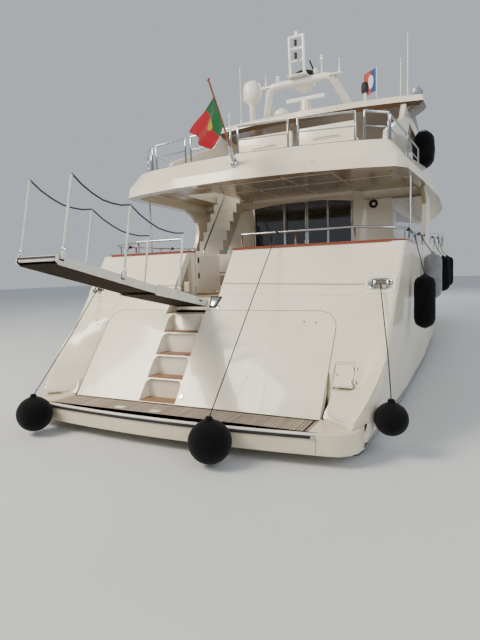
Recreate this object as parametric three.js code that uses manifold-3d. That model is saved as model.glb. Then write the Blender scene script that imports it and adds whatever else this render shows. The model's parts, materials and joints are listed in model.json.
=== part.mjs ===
// A 26.5 m motor yacht afloat: planing hull with a raked transom and garage, cockpit, saloon deckhouse,
// upper deck with hardtop and radar arch, stern platform and a raised boarding passerelle.
// Millimetres. +X starboard, +Y bow, +Z up. The origin is on the waterline, on the centreline, amidships.

import * as THREE from "three";
import { mergeVertices } from "three/addons/utils/BufferGeometryUtils.js";
import Module from "manifold-3d";

const wasm = await Module();
wasm.setup();

// Driving dimensions of the whole boat.
const BOW_Y = 13250;
const STERN_Y = -13250;
const SEAT = 0.3;
const RUNNING = 8;
const UP = new THREE.Vector3(0, 0, 1);
const ACROSS = new THREE.Vector3(1, 0, 0);
const ALONG = new THREE.Vector3(0, 1, 0);

// Transom: a plane that leans forward from the platform to the cap.
const FOOT_Y = -12540;
const FOOT_Z = 450;
const TRANSOM_RAKE = 0.767;
const TRANSOM_WALL = 280;
const STEM_BASE_Y = 10600;
const STEM_RAKE = 0.64;
const RAKE_END_Y = -6000;
const FLARE_START_Y = 2000;
const BULWARK = 150;

// Hull stations before the raked ends are sheared; heights and half-breadths.
const HULL_STATIONS = [
  // y, keel z, chine x, chine z, cap x, cap z, fullness of the topside
  [-12540, -800, 2900, 60, 3220, 3040, 0.45],
  [-9000, -950, 3000, 0, 3225, 3060, 0.5],
  [-5000, -1100, 2990, -20, 3225, 3140, 0.55],
  [-1000, -1150, 2880, 0, 3220, 3260, 0.7],
  [2000, -1150, 2600, 100, 3150, 3430, 0.85],
  [4500, -1080, 2080, 280, 2960, 3600, 1.0],
  [6800, -900, 1420, 520, 2560, 3780, 1.2],
  [8600, -600, 780, 780, 1900, 3930, 1.35],
  [9800, -250, 320, 1000, 1020, 4050, 1.4],
  [STEM_BASE_Y, 150, 30, 1180, 60, 4140, 1.4],
];
// Rounded quarters: how far the side stands in from its full breadth, behind the transom.
const QUARTER = [
  // distance forward of the transom, inset
  [0, 70],
  [10, 42],
  [35, 18],
  [70, 5],
  [120, 0],
];
// Mouldings that sweep from the transom's lower corners to the ends of the stern platform.
const CORNER_MOULDING = [
  // height, reach aft of the transom, x of the inner edge, x of the knuckle, x where it meets the side
  [478.3, 395, 2340, 2830, 3000],
  [570, 375, 2345, 2860, 3010],
  [700, 330, 2400, 2935, 3030],
  [850, 275, 2750, 3000, 3050],
  [1050, 205, 2800, 3075, 3065],
  [1300, 100, 2810, 3130, 3080],
  [1500, 40, 2750, 3110, 3090],
  [1700, -25, 2760, 3080, 3080],
];
const TOPSIDE_STEPS = [0, 0.12, 0.3, 0.6, 1];

// Weather deck, as a profile along the boat.
const SOLE_Z = 2150;
const DECK_PROFILE = [
  // y, z
  [-14000, SOLE_Z],
  [-4000, SOLE_Z],
  [3000, 2650],
  [5500, 3000],
  [14000, 3450],
];

// Stern platform.
const PLATFORM_HALF = 2950;
const PLATFORM_RADIUS = 400;
const PLATFORM_BOW = 170;
const PLATFORM_REACH = 60;
const PLATFORM_BOTTOM = 170;
const PLATFORM_TOP = 438;
const PLATFORM_RIM = 478;
const PLATFORM_TEAK_HALF = 2305;
const PLATFORM_TEAK_THICK = 14;

// Garage door with the boarding steps, hinged along its top edge.
const DOOR_HALF = 2300;
const DOOR_TOP_Z = 1930;
const DOOR_THICK = 110;
const DOOR_CORNER = 330;
const STEP_X = [-900, -170];
const STEP_TREADS = [450, 800, 1160, 1530, 1860];
const STEP_SCOOP = 45;
const STEP_BOX_DEPTH = 420;
const STEP_WALL = 40;

// Passerelle and its recess beside the gate in the transom bulwark.
const GATE_X = [-1030, 20];
const GATE_HINGE = [-1015.7, -10270];
const RECESS_X = [-990, -160];
const RECESS_FRONT_Y = -10950;
const PLANK_X = [-950, -200];
const PLANK_HINGE = [-11150, 2010];
const PLANK_SLOPE = 12.9;
const PLANK_LENGTH = 3720;
const PLANK_BOARD = 28;
const PLANK_CASING = 1700;
const PLANK_STEP_IN = 30;
const STANCHION_S = [1080, 2500, 3640];
const STANCHION_HEIGHT = 1050;
const ROPE_RADIUS = 12;
const ROPE_LIFT = 18.5;
const ROPE_SAG = 130;

// Storage locker in the transom, starboard.
const LOCKER_X = [2390, 2690];
const LOCKER_Z = [880, 1200];
const LOCKER_THICK = 26;
const FAIRLEAD = [2900, 2340];
const FAIRLEAD_HALF = [180, 95];
const FAIRLEAD_DEPTH = 110;

// Deckhouse on the main deck.
const HOUSE_TOP = 4389;
const SCREEN_TOP = 4599.7;
const SCREEN_BAND_Y = -6101;
const HOUSE_WALL = 70;
const HOUSE_AFT_Y = -6000;
const SCREEN_Y = -6350;
const SCREEN_HALF = 1400;
const DOORWAY_X = [-450, 720];
const DOORWAY_TOP = 4450;
const DOORWAY_SILL = 2190;
const LEAF_THICK = 40;
const LEAF_LAP = 30;

// Upper deck and what stands on it.
const DECK2_LOW = 4390;
const DECK2_SOFFIT = 4600;
const DECK2_FLOOR = 4800;
const DECK2_RAIL_Z = 4950;
const DECK2_OUTLINE = [
  // half plan from the stern centre round the starboard side to the bow centre
  [0, -10450], [1360, -10330], [2400, -10110], [2960, -9900], [3140, -9620], [3260, -8000],
  [3390, -5280], [3320, -2550], [3020, -250], [2710, 1050], [2250, 2700], [1300, 3700], [0, 3950],
];
const STAIR_X = [-2350, -1650];
const STAIR_Y = [-8650, -6500];
const STAIR_STEPS = 10;

const HARDTOP_LOW = 6600;
const HARDTOP_HIGH = 6900;
const HARDTOP_OUTLINE = [
  [0, -6260], [1500, -6200], [2400, -6050], [3050, -5900], [3080, -5250], [2750, -4700],
  [2600, -1500], [2150, -550], [0, -300],
];

// Running gear.
const SHAFT_X = 1150;
const PROP_Y = -10600;
const PROP_Z = -1150;
const SHAFT_TILT = 10;
const SHAFT_LENGTH = 2500;
const SHAFT_RADIUS = 40;
const PROP_RADIUS = 430;
const RUDDER_Y = -11750;

// Colours.
const PALETTE = {
  gelcoat: [0xe9e4d6, 0.35, 0],
  teak: [0x8a6a45, 0.7, 0],
  varnish: [0x8c3f1d, 0.25, 0],
  steel: [0xc8ccd0, 0.18, 1],
  glass: [0x0b0d10, 0.08, 0.2],
  black: [0x17181a, 0.85, 0],
  bronze: [0x9a7b45, 0.35, 1],
  cushion: [0xd9d2c1, 0.9, 0],
  rope: [0x2a2c33, 0.9, 0],
  flag: [0xa8202a, 0.8, 0],
  engine: [0x8e9499, 0.6, 0.3],
};

const boat = new THREE.Group();
const materials = {};

function material(name) {
  if (!materials[name]) {
    const [color, roughness, metalness] = PALETTE[name];
    materials[name] = new THREE.MeshStandardMaterial({ color, roughness, metalness });
  }
  return materials[name];
}

// Turns vertex and triangle lists into a solid with its faces pointing out.
function solidFrom(positions, triangles) {
  let volume = 0;
  const a = new THREE.Vector3();
  const b = new THREE.Vector3();
  const c = new THREE.Vector3();
  for (let i = 0; i < triangles.length; i += 3) {
    a.fromArray(positions, triangles[i] * 3);
    b.fromArray(positions, triangles[i + 1] * 3);
    c.fromArray(positions, triangles[i + 2] * 3);
    volume += a.dot(b.cross(c));
  }
  const faces = volume > 0 ? triangles : triangles.slice().reverse();
  return new wasm.Manifold(new wasm.Mesh({
    numProp: 3,
    vertProperties: new Float32Array(positions),
    triVerts: new Uint32Array(faces),
  }));
}

// Makes a solid of a closed three.js geometry.
function solid(geometry) {
  geometry.deleteAttribute("normal");
  geometry.deleteAttribute("uv");
  const merged = mergeVertices(geometry, 1e-3);
  const index = Array.from(merged.index.array);
  const kept = [];
  for (let i = 0; i < index.length; i += 3) {
    const [p, q, r] = index.slice(i, i + 3);
    if (p !== q && q !== r && r !== p) kept.push(p, q, r);
  }
  return solidFrom(Array.from(merged.attributes.position.array), kept);
}

function geometryOf(body) {
  const mesh = body.getMesh();
  const geometry = new THREE.BufferGeometry();
  geometry.setAttribute("position", new THREE.BufferAttribute(mesh.vertProperties, 3));
  geometry.setIndex(new THREE.BufferAttribute(mesh.triVerts, 1));
  geometry.computeVertexNormals();
  return geometry;
}

function addPart(name, body, colour) {
  const mesh = new THREE.Mesh(geometryOf(body), material(colour));
  mesh.name = name;
  boat.add(mesh);
}

function joined(bodies) {
  return bodies.reduce((sum, body) => sum.add(body));
}

// Box between two corners.
function box(x, y, z) {
  const geometry = new THREE.BoxGeometry(x[1] - x[0], y[1] - y[0], z[1] - z[0]);
  geometry.translate((x[0] + x[1]) / 2, (y[0] + y[1]) / 2, (z[0] + z[1]) / 2);
  return solid(geometry);
}

// Cylinder between two points.
function rod(from, to, radius, sides = 8, endRadius = radius) {
  const a = new THREE.Vector3(...from);
  const b = new THREE.Vector3(...to);
  const geometry = new THREE.CylinderGeometry(endRadius, radius, a.distanceTo(b), sides);
  geometry.applyQuaternion(new THREE.Quaternion().setFromUnitVectors(ALONG, b.clone().sub(a).normalize()));
  geometry.translate((a.x + b.x) / 2, (a.y + b.y) / 2, (a.z + b.z) / 2);
  return solid(geometry);
}

function ball(centre, radius, sides = 12, squash = 1) {
  const geometry = new THREE.SphereGeometry(radius, sides, Math.round(sides * 0.6));
  geometry.rotateX(Math.PI / 2);
  geometry.scale(1, 1, squash);
  geometry.translate(...centre);
  return solid(geometry);
}

function shapeOf(points) {
  return new THREE.Shape(points.map(([x, y]) => new THREE.Vector2(x, y)));
}

// Prisms of an outline drawn in plan (x, y), in side view (y, z) or in end view (x, z).
function planPrism(points, z) {
  const geometry = new THREE.ExtrudeGeometry(shapeOf(points), { depth: z[1] - z[0], bevelEnabled: false });
  geometry.translate(0, 0, z[0]);
  return solid(geometry);
}

function sidePrism(points, x) {
  const geometry = new THREE.ExtrudeGeometry(shapeOf(points), { depth: x[1] - x[0], bevelEnabled: false });
  geometry.rotateY(Math.PI / 2);
  geometry.rotateX(Math.PI / 2);
  geometry.translate(x[0], 0, 0);
  return solid(geometry);
}

// Solid through a row of rings with the same number of points.
function loft(rings) {
  const size = rings[0].length;
  const positions = rings.flat().flatMap((p) => [p.x, p.y, p.z]);
  const triangles = [];
  for (let i = 0; i + 1 < rings.length; i += 1) {
    for (let j = 0; j < size; j += 1) {
      const k = (j + 1) % size;
      const [p, q] = [i * size + j, i * size + k];
      triangles.push(p, q, q + size, p, q + size, p + size);
    }
  }
  capFaces(rings[0]).forEach(([p, q, r]) => triangles.push(r, q, p));
  const last = (rings.length - 1) * size;
  capFaces(rings[rings.length - 1]).forEach(([p, q, r]) => triangles.push(last + p, last + q, last + r));
  return solidFrom(positions, triangles);
}

// Triangles over one ring, listed in the ring's own turning sense.
function capFaces(ring) {
  const normal = new THREE.Vector3();
  ring.forEach((p, i) => normal.add(p.clone().cross(ring[(i + 1) % ring.length])));
  normal.normalize();
  const u = (Math.abs(normal.z) < 0.9 ? UP : ACROSS).clone().cross(normal).normalize();
  const v = normal.clone().cross(u);
  return THREE.ShapeUtils.triangulateShape(ring.map((p) => new THREE.Vector2(p.dot(u), p.dot(v))), []);
}

function circle(radius, sides) {
  return Array.from({ length: sides }, (_, i) => {
    const angle = (2 * Math.PI * (i + 0.5)) / sides;
    return [radius * Math.cos(angle), radius * Math.sin(angle)];
  });
}

// Sweeps a profile along points; ref is a direction that the path never takes.
// The profile may be a function of the point's number.
function sweep(points, profile, ref = UP) {
  const path = points.map((p) => new THREE.Vector3(...p));
  return loft(path.map((p, i) => {
    const before = p.clone().sub(path[Math.max(i - 1, 0)]).normalize();
    const after = path[Math.min(i + 1, path.length - 1)].clone().sub(p).normalize();
    const tangent = before.add(after).normalize();
    const side = ref.clone().cross(tangent).normalize();
    const top = tangent.clone().cross(side);
    const section = typeof profile === "function" ? profile(i) : profile;
    return section.map(([s, t]) => p.clone().addScaledVector(side, s).addScaledVector(top, t));
  }));
}

function tube(points, radius, ref = UP, sides = 6) {
  return sweep(points, circle(radius, sides), ref);
}

// Rounds the inner corners of a path with short curves.
function rounded(points, radius, steps = 3) {
  const path = points.map((p) => new THREE.Vector3(...p));
  const result = [points[0]];
  for (let i = 1; i + 1 < path.length; i += 1) {
    const start = path[i].clone().add(path[i - 1].clone().sub(path[i]).setLength(radius));
    const end = path[i].clone().add(path[i + 1].clone().sub(path[i]).setLength(radius));
    const bend = new THREE.QuadraticBezierCurve3(start, path[i], end);
    bend.getPoints(steps).forEach((p) => result.push(p.toArray()));
  }
  result.push(points[points.length - 1]);
  return result;
}

// Whole ring of a half plan outline, mirrored about the centreline.
function mirrored(half) {
  const port = half.filter(([x]) => x > 0).reverse().map(([x, y]) => [-x, y]);
  return [...half, ...port];
}

// Moves a ring's points in by a distance, along the mean of the two edge normals.
function inset(ring, distance) {
  return ring.map((p, i) => {
    const before = ring[(i + ring.length - 1) % ring.length];
    const after = ring[(i + 1) % ring.length];
    const a = new THREE.Vector2(p[0] - before[0], p[1] - before[1]).normalize();
    const b = new THREE.Vector2(after[0] - p[0], after[1] - p[1]).normalize();
    const bisector = new THREE.Vector2(-a.y - b.y, a.x + b.x).normalize();
    const reach = distance / Math.max(0.5, bisector.dot(new THREE.Vector2(-a.y, a.x)));
    return [p[0] + bisector.x * reach, p[1] + bisector.y * reach];
  });
}

// Solid between plan rings at their heights; a height may follow y.
function stack(levels) {
  return loft(levels.map(([ring, z]) => ring.map(([x, y]) => {
    return new THREE.Vector3(x, y, typeof z === "function" ? z(y) : z);
  })));
}

// Linear lookup in a table whose first column rises.
function lookup(table, value, column = 1) {
  const last = table.length - 1;
  const row = Math.min(Math.max(table.findIndex((r) => r[0] > value) - 1, 0), last - 1);
  const at = value >= table[last][0] ? last - 1 : row;
  const [from, to] = [table[at], table[at + 1]];
  const share = Math.min(Math.max((value - from[0]) / (to[0] - from[0]), 0), 1);
  return from[column] + (to[column] - from[column]) * share;
}

function transomY(z) {
  return FOOT_Y + TRANSOM_RAKE * (z - FOOT_Z);
}

// Both ends of the hull are sheared stations: the raked transom aft, the stem forward.
function sheared(y, z) {
  const stern = THREE.MathUtils.clamp((RAKE_END_Y - y) / (RAKE_END_Y - FOOT_Y), 0, 1);
  const bow = THREE.MathUtils.clamp((y - FLARE_START_Y) / (STEM_BASE_Y - FLARE_START_Y), 0, 1);
  return y + TRANSOM_RAKE * Math.max(0, z - FOOT_Z) * stern + STEM_RAKE * z * bow;
}

function hullAt(y) {
  const [keel, chineX, chineZ, capX, capZ, full] = [1, 2, 3, 4, 5, 6].map((c) => lookup(HULL_STATIONS, y, c));
  const shrink = lookup(QUARTER, y - FOOT_Y);
  const topside = (t) => [
    chineX + (capX - chineX) * t ** full - shrink,
    chineZ + (capZ - chineZ) * t,
  ];
  return { keel, chineX: chineX - shrink, chineZ, capX: capX - shrink, capZ, topside };
}

// Plan position of the bulwark cap's outer edge at a station.
function capEdge(y, inward = 0) {
  const { capX, capZ } = hullAt(y);
  return [capX - inward, sheared(y, capZ), capZ];
}

function stationRing(y) {
  const hull = hullAt(y);
  const half = [
    [hull.chineX * 0.98, hull.chineZ - 60],
    ...TOPSIDE_STEPS.map((t) => hull.topside(t)),
  ];
  const port = half.slice().reverse().map(([x, z]) => [-x, z]);
  return [[0, hull.keel], ...half, ...port].map(([x, z]) => new THREE.Vector3(x, sheared(y, z), z));
}

// Space inside the bulwarks, cut down to the deck profile.
function bulwarkWell() {
  const stations = [FOOT_Y + TRANSOM_WALL, FOOT_Y + 450, FOOT_Y + 700, -9000, -5000, -1000, 2000, 4500, 6800,
    8600, 9800, 10000];
  const rings = stations.map((y) => {
    const hull = hullAt(y);
    const share = (z) => (z - hull.chineZ) / (hull.capZ - hull.chineZ);
    const half = [1900, 2600, hull.capZ].map((z) => [hull.topside(Math.max(share(z), 0))[0] - BULWARK, z]);
    half.push([hull.capX - BULWARK, hull.capZ + 400]);
    const port = half.slice().reverse().map(([x, z]) => [-x, z]);
    return [...half, ...port].map(([x, z]) => new THREE.Vector3(x, sheared(y, z), z));
  });
  return loft(rings).subtract(belowDeck(0));
}

// Everything under the deck profile, raised by a lift.
function belowDeck(lift) {
  const top = DECK_PROFILE.map(([y, z]) => [y, z + lift]);
  return sidePrism([...top, [14000, -3000], [-14000, -3000]], [-4000, 4000]);
}

// Turns a solid drawn on the transom (across, up the slope, outward) into the boat's frame.
function onTransom(body) {
  const slope = Math.hypot(1, TRANSOM_RAKE);
  const matrix = new THREE.Matrix4().makeBasis(
    ACROSS,
    new THREE.Vector3(0, TRANSOM_RAKE / slope, 1 / slope),
    new THREE.Vector3(0, -1 / slope, TRANSOM_RAKE / slope),
  );
  matrix.setPosition(0, FOOT_Y, FOOT_Z);
  return body.transform(matrix.elements.slice());
}

// Point beside the transom, at a distance out from its surface.
function transomPoint(x, z, out) {
  const slope = Math.hypot(1, TRANSOM_RAKE);
  return [x, transomY(z) - out / slope, z + (out * TRANSOM_RAKE) / slope];
}

function upSlope(z) {
  return (z - FOOT_Z) * Math.hypot(1, TRANSOM_RAKE);
}

// Garage door outline on the transom, with rounded top corners.
function doorOutline(grow) {
  const half = DOOR_HALF + grow;
  const top = upSlope(DOOR_TOP_Z) + grow;
  const radius = DOOR_CORNER + grow;
  const arc = [0, 1, 2, 3, 4].map((i) => {
    const angle = (Math.PI / 8) * i;
    return [half - radius + radius * Math.cos(angle), top - radius + radius * Math.sin(angle)];
  });
  const port = arc.slice().reverse().map(([x, y]) => [-x, y]);
  return [[-half, 12 - grow], [half, 12 - grow], ...arc, ...port];
}

function stepBox(grow) {
  const x = [STEP_X[0] - STEP_WALL - grow, STEP_X[1] + STEP_WALL + grow];
  return box(x, [12 - grow, upSlope(STEP_TREADS[4]) + grow], [-STEP_BOX_DEPTH - grow, 0]);
}

function garageOpening() {
  const panel = planPrism(doorOutline(RUNNING), [-DOOR_THICK - 400, 300]).translate([0, 0.5 - RUNNING, 0]);
  const steps = stepBox(RUNNING).add(box(
    [STEP_X[0] - STEP_WALL - RUNNING, STEP_X[1] + STEP_WALL + RUNNING],
    [12 - RUNNING, upSlope(STEP_TREADS[4])],
    [-900, 0],
  ));
  const tender = sidePrism([
    [transomY(500) + 330, 500], [transomY(1900) + 330, 1900], [-8800, 1900], [-8800, 500],
  ], [-2150, 2150]);
  const machinery = box([-1450, 1450], [-8900, -4200], [-250, 1900]);
  const belowFoot = box([-3000, 3000], [-14000, -10000], [-2000, FOOT_Z + 2]);
  const doorway = onTransom(panel.add(steps)).subtract(belowFoot);
  return joined([doorway, tender, machinery]);
}

function garageDoor() {
  const panel = planPrism(doorOutline(0), [-DOOR_THICK, 0]);
  let door = onTransom(panel.add(stepBox(0)));
  STEP_TREADS.slice(0, -1).forEach((tread, i) => {
    const next = STEP_TREADS[i + 1];
    door = door.subtract(box(STEP_X, [-14000, transomY(next) + STEP_SCOOP], [tread + 15, next]));
  });
  const top = STEP_TREADS[4];
  door = door.subtract(box([-3000, 3000], [-14000, -10000], [-2000, FOOT_Z + 10]));
  return door.subtract(box([RECESS_X[0] - RUNNING, RECESS_X[1] + RUNNING], [-14000, -10500], [top, top + 400]));
}

// Boss and strut pair that hold one propeller shaft under the hull.
function shaftLine(side) {
  const tilt = THREE.MathUtils.degToRad(SHAFT_TILT);
  return (s) => [side * SHAFT_X, PROP_Y + s * Math.cos(tilt), PROP_Z + s * Math.sin(tilt)];
}

function shaftSupports(side) {
  const at = shaftLine(side);
  const barrel = rod(at(330), at(560), 85, 16).subtract(rod(at(320), at(570), SHAFT_RADIUS + 6, 16));
  const [, strutY, strutZ] = at(445);
  const outer = sweep([
    [side * (SHAFT_X + 66), strutY, strutZ + 30], [side * (SHAFT_X + 330), strutY, -330],
  ], [[-90, -18], [90, -18], [90, 18], [-90, 18]], ALONG);
  const inner = sweep([
    [side * (SHAFT_X - 66), strutY, strutZ + 30], [side * (SHAFT_X - 330), strutY, -480],
  ], [[-90, -18], [90, -18], [90, 18], [-90, 18]], ALONG);
  const boss = rod(at(SHAFT_LENGTH + SEAT), at(SHAFT_LENGTH + 1500), 95, 16);
  const port = rod([side * SHAFT_X, RUDDER_Y, -640], [side * SHAFT_X, RUDDER_Y, -300], 100, 16);
  const bore = rod([side * SHAFT_X, RUDDER_Y, -700], [side * SHAFT_X, RUDDER_Y, -580], 54, 16);
  return joined([barrel, outer, inner, boss, port.subtract(bore)]);
}

function propeller(side) {
  const at = shaftLine(side);
  const axis = new THREE.Vector3(...at(1)).sub(new THREE.Vector3(...at(0))).normalize();
  const hub = rod(at(-150), at(170), 95, 16, 80);
  const shaft = rod(at(100), at(SHAFT_LENGTH), SHAFT_RADIUS, 16);
  const outline = [[-60, 60], [-120, 180], [-150, 300], [-95, 400], [0, PROP_RADIUS], [95, 400], [150, 300],
    [120, 180], [60, 60]];
  const blades = [0, 1, 2, 3].map((i) => {
    const geometry = new THREE.ExtrudeGeometry(shapeOf(outline), { depth: 20, bevelEnabled: false });
    geometry.translate(0, 0, -10);
    geometry.rotateY(side * THREE.MathUtils.degToRad(58));
    geometry.applyMatrix4(new THREE.Matrix4().makeRotationZ((Math.PI / 2) * i));
    geometry.applyQuaternion(new THREE.Quaternion().setFromUnitVectors(UP, axis));
    geometry.translate(...at(0));
    return solid(geometry);
  });
  return joined([hub, shaft, ...blades]);
}

function rudder(side) {
  const x = side * SHAFT_X;
  const blade = planPrism([[-10, -430], [-45, -120], [-52, 60], [-30, 170], [0, 210], [30, 170], [52, 60],
    [45, -120], [10, -430]].map(([a, b]) => [x + a, RUDDER_Y + b]), [-1620, -720]);
  return blade.add(rod([x, RUDDER_Y, -800], [x, RUDDER_Y, -580 - SEAT], 50, 16));
}

// The hull's outer form, closed across the caps.
const HULL_FORM = loft([...QUARTER.map(([d]) => FOOT_Y + d), ...HULL_STATIONS.slice(1).map(([y]) => y)]
  .map(stationRing));

// Oval pocket of the mooring port in one quarter.
function fairleadPocket(side) {
  const [half, rise] = FAIRLEAD_HALF;
  const ends = [1, -1].flatMap((end) => [-3, -2, -1, 0, 1, 2, 3].map((i) => {
    const angle = (Math.PI / 6) * i;
    return [end * (half - rise + rise * Math.cos(angle)), end * rise * Math.sin(angle)];
  }));
  const outline = ends.map(([u, v]) => [side * FAIRLEAD[0] + u, upSlope(FAIRLEAD[1]) + v]);
  return onTransom(planPrism(outline, [-FAIRLEAD_DEPTH, 100]));
}

// Post that the stern gate hangs on, beside its opening.
function gatePost(grow) {
  const x = [GATE_X[0] - 80 - grow, GATE_X[0] - 1 + grow];
  return box(x, [-10420 - grow, -10180 + grow], [SOLE_Z - 10, 3040]);
}

// Moulding at one lower corner of the transom, as plan rings that shrink into the quarter.
function cornerMoulding(side) {
  const curve = [0.3, 0.55, 0.75, 0.9, 1];
  return stack(CORNER_MOULDING.map(([z, reach, inner, knuckle, flank]) => {
    const face = curve.map((part) => [inner + (knuckle - inner) * part, transomY(z) - reach * part ** 1.8]);
    const ring = [[inner, transomY(z) + 60], [inner, transomY(z) + 1], ...face, [flank, transomY(z) + 150]];
    return [ring.map(([x, y]) => [side * x, y]), z];
  }));
}

function hullBody() {
  let hull = joined([HULL_FORM, cornerMoulding(1), cornerMoulding(-1)]);
  hull = hull.subtract(bulwarkWell()).subtract(garageOpening());
  hull = hull.subtract(box(GATE_X, [-12000, -9900], [SOLE_Z, 3500]));
  hull = hull.subtract(box(RECESS_X, [-12000, RECESS_FRONT_Y], [STEP_TREADS[4] + 5, SOLE_Z + 1]));
  const [x0, x1] = LOCKER_X;
  hull = hull.subtract(onTransom(box([x0 - 6, x1 + 0.5], LOCKER_Z.map(upSlope).map((v, i) => v + (i ? 6 : -6)),
    [-160, 50])));
  hull = hull.subtract(fairleadPocket(1)).subtract(fairleadPocket(-1));
  return joined([hull, gatePost(0), foredeckTrunk(), shaftSupports(1), shaftSupports(-1)]);
}

// Aft edge of the platform, bowed aft in the middle.
function platformAft(x) {
  return STERN_Y - PLATFORM_REACH + PLATFORM_BOW * (x / (PLATFORM_HALF - PLATFORM_RADIUS)) ** 2;
}

// Plan of the teak and its bed, at a distance inside the platform's aft edge.
function teakPlan(half, distance, front) {
  const edge = [-1, -0.75, -0.5, -0.25, 0, 0.25, 0.5, 0.75, 1].map((part) => part * half);
  return [...edge.map((x) => [x, platformAft(x) + distance]), [half, front], [-half, front]];
}

function platform() {
  const corner = PLATFORM_HALF - PLATFORM_RADIUS;
  const arc = [0, 1, 2, 3, 4].map((i) => {
    const angle = (Math.PI / 8) * i;
    return [corner + PLATFORM_RADIUS * Math.cos(angle),
      platformAft(corner) + PLATFORM_RADIUS * (1 - Math.sin(angle))];
  });
  const edge = [0.75, 0.5, 0.25].map((part) => [part * corner, platformAft(part * corner)]);
  const aft = FOOT_Y - SEAT;
  const starboard = [[PLATFORM_HALF - 20, aft], ...arc, ...edge];
  const port = starboard.slice().reverse().map(([x, y]) => [-x, y]);
  const deck = planPrism([...starboard, [0, platformAft(0)], ...port], [PLATFORM_BOTTOM, PLATFORM_RIM]);
  const recess = planPrism(teakPlan(PLATFORM_TEAK_HALF + 2, 40, aft + 10), [PLATFORM_TOP, PLATFORM_RIM + 10]);
  return deck.subtract(recess);
}

function platformTeak() {
  return planPrism(teakPlan(PLATFORM_TEAK_HALF, 45, FOOT_Y - 20),
    [PLATFORM_TOP + SEAT, PLATFORM_TOP + PLATFORM_TEAK_THICK]);
}

function lockerHatch() {
  return onTransom(box(LOCKER_X, LOCKER_Z.map(upSlope), [-LOCKER_THICK, 0]));
}

// Passerelle: everything is drawn along its slope (across, outboard, up) and turned about the hinge.
function onPlank(body) {
  const tilt = THREE.MathUtils.degToRad(PLANK_SLOPE);
  const matrix = new THREE.Matrix4().makeBasis(
    ACROSS,
    new THREE.Vector3(0, -Math.cos(tilt), Math.sin(tilt)),
    new THREE.Vector3(0, Math.sin(tilt), Math.cos(tilt)),
  );
  matrix.setPosition(0, ...PLANK_HINGE);
  return body.transform(matrix.elements.slice());
}

// Side boards of the inner casing and of the outer section that slides out of it.
function plankBoards() {
  const casing = [[-40, -38], [PLANK_CASING, -105], [PLANK_CASING, 65], [-40, 80]];
  const outer = [[PLANK_CASING - 40, -80], [PLANK_LENGTH - 60, -80], [PLANK_LENGTH, -45], [PLANK_LENGTH, 20],
    [PLANK_LENGTH - 25, 38], [PLANK_CASING - 40, 38]];
  const boards = [[casing, 0, PLANK_BOARD], [outer, PLANK_STEP_IN - 5, PLANK_STEP_IN + PLANK_BOARD]];
  return boards.flatMap(([profile, near, far]) => [[PLANK_X[0] + near, PLANK_X[0] + far],
    [PLANK_X[1] - far, PLANK_X[1] - near]].map((x) => sidePrism(profile, x)));
}

function plank() {
  const [x0, x1] = PLANK_X;
  const deck = box([x0 + 5, x1 - 5], [-40, PLANK_CASING], [-10, 20])
    .add(box([x0 + 40, x1 - 40], [PLANK_CASING - 40, PLANK_LENGTH], [-10, 20]));
  const bearers = [];
  for (let s = 0; s < PLANK_LENGTH; s += 235) {
    const inside = s < PLANK_CASING ? 5 : 40;
    bearers.push(box([x0 + inside, x1 - inside], [s, s + 60], [s < 400 ? -36 : -50, 0]));
  }
  const posts = STANCHION_S.flatMap((s) => [x0 + 14, x1 - 14].map((x) => {
    const foot = box([x - 24, x + 24], [s - 30, s + 30], [-10, 90]);
    return foot.add(rod([x, s, 80], [x, s, STANCHION_HEIGHT], 17, 8));
  }));
  const pin = rod([RECESS_X[0] + 0.4, 0, 0], [RECESS_X[1] - 0.4, 0, 0], 32, 12);
  const arms = [x0, x1 - PLANK_BOARD].map((x) => rod([x, 0, 0], [x + PLANK_BOARD, 0, 0], 58, 16));
  return joined([...plankBoards(), deck, ...bearers, ...posts, pin, ...arms]);
}

// Hand rope that sags between the posts and lies on their tops.
function plankRope(x) {
  const sag = [0, 0.55, 0.85, 1, 0.85, 0.55];
  const top = STANCHION_HEIGHT + ROPE_LIFT;
  const points = STANCHION_S.slice(0, -1).flatMap((start, i) => sag.map((part, k) => {
    return [x, start + ((STANCHION_S[i + 1] - start) * k) / sag.length, top - ROPE_SAG * part];
  }));
  points.push([x, STANCHION_S[2], top]);
  return onPlank(tube(points, ROPE_RADIUS, UP, 8));
}

// Main deckhouse: hollow, with a flat saloon screen aft and a raked front.
function houseRing(y0, half, frontY, shrink = 0) {
  const ring = mirrored([
    [0, SCREEN_Y], [SCREEN_HALF, SCREEN_Y], [1700, y0], [half, y0],
    [half, frontY - 2600], [half * 0.82, frontY - 900], [half * 0.4, frontY - 130], [0, frontY],
  ]);
  return shrink ? inset(ring, shrink) : ring;
}

// Walls between two insets of the house; the screen's band stands up to the raised soffit.
function houseShell(outer, inner) {
  const solidAt = (shrink, z0, z1) => stack([
    [houseRing(HOUSE_AFT_Y, 2450, 6300, shrink), z0], [houseRing(HOUSE_AFT_Y, 2287, 4124, shrink), z1],
  ]);
  const walls = solidAt(outer, 2000, SCREEN_TOP).subtract(solidAt(inner, 1999, SCREEN_TOP + 1));
  return walls.subtract(box([-4000, 4000], [SCREEN_BAND_Y, BOW_Y], [HOUSE_TOP, 5000]));
}

// Window openings as boxes: side windows, the windscreen and the fixed panes beside the doorway.
const WINDOWS = {
  side: { y: [-5300, 3300], z: [2950, 4150] },
  front: { x: [-2100, 2100], y: [4200, 7000], z: [3420, 4180] },
  port_screen: { x: [-1370, -500], z: [2450, DOORWAY_TOP] },
  starboard_screen: { x: [770, 1370], z: [2450, DOORWAY_TOP] },
};

function windowBox(name, side, grow) {
  const hole = WINDOWS[name];
  const reach = (pair) => [pair[0] - grow, pair[1] + grow];
  if (name === "side") return box(side > 0 ? [1200, 3000] : [-3000, -1200], reach(hole.y), reach(hole.z));
  if (name === "front") return box(reach(hole.x), hole.y, reach(hole.z));
  return box(reach(hole.x), [-6700, -6200], reach(hole.z));
}

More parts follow.
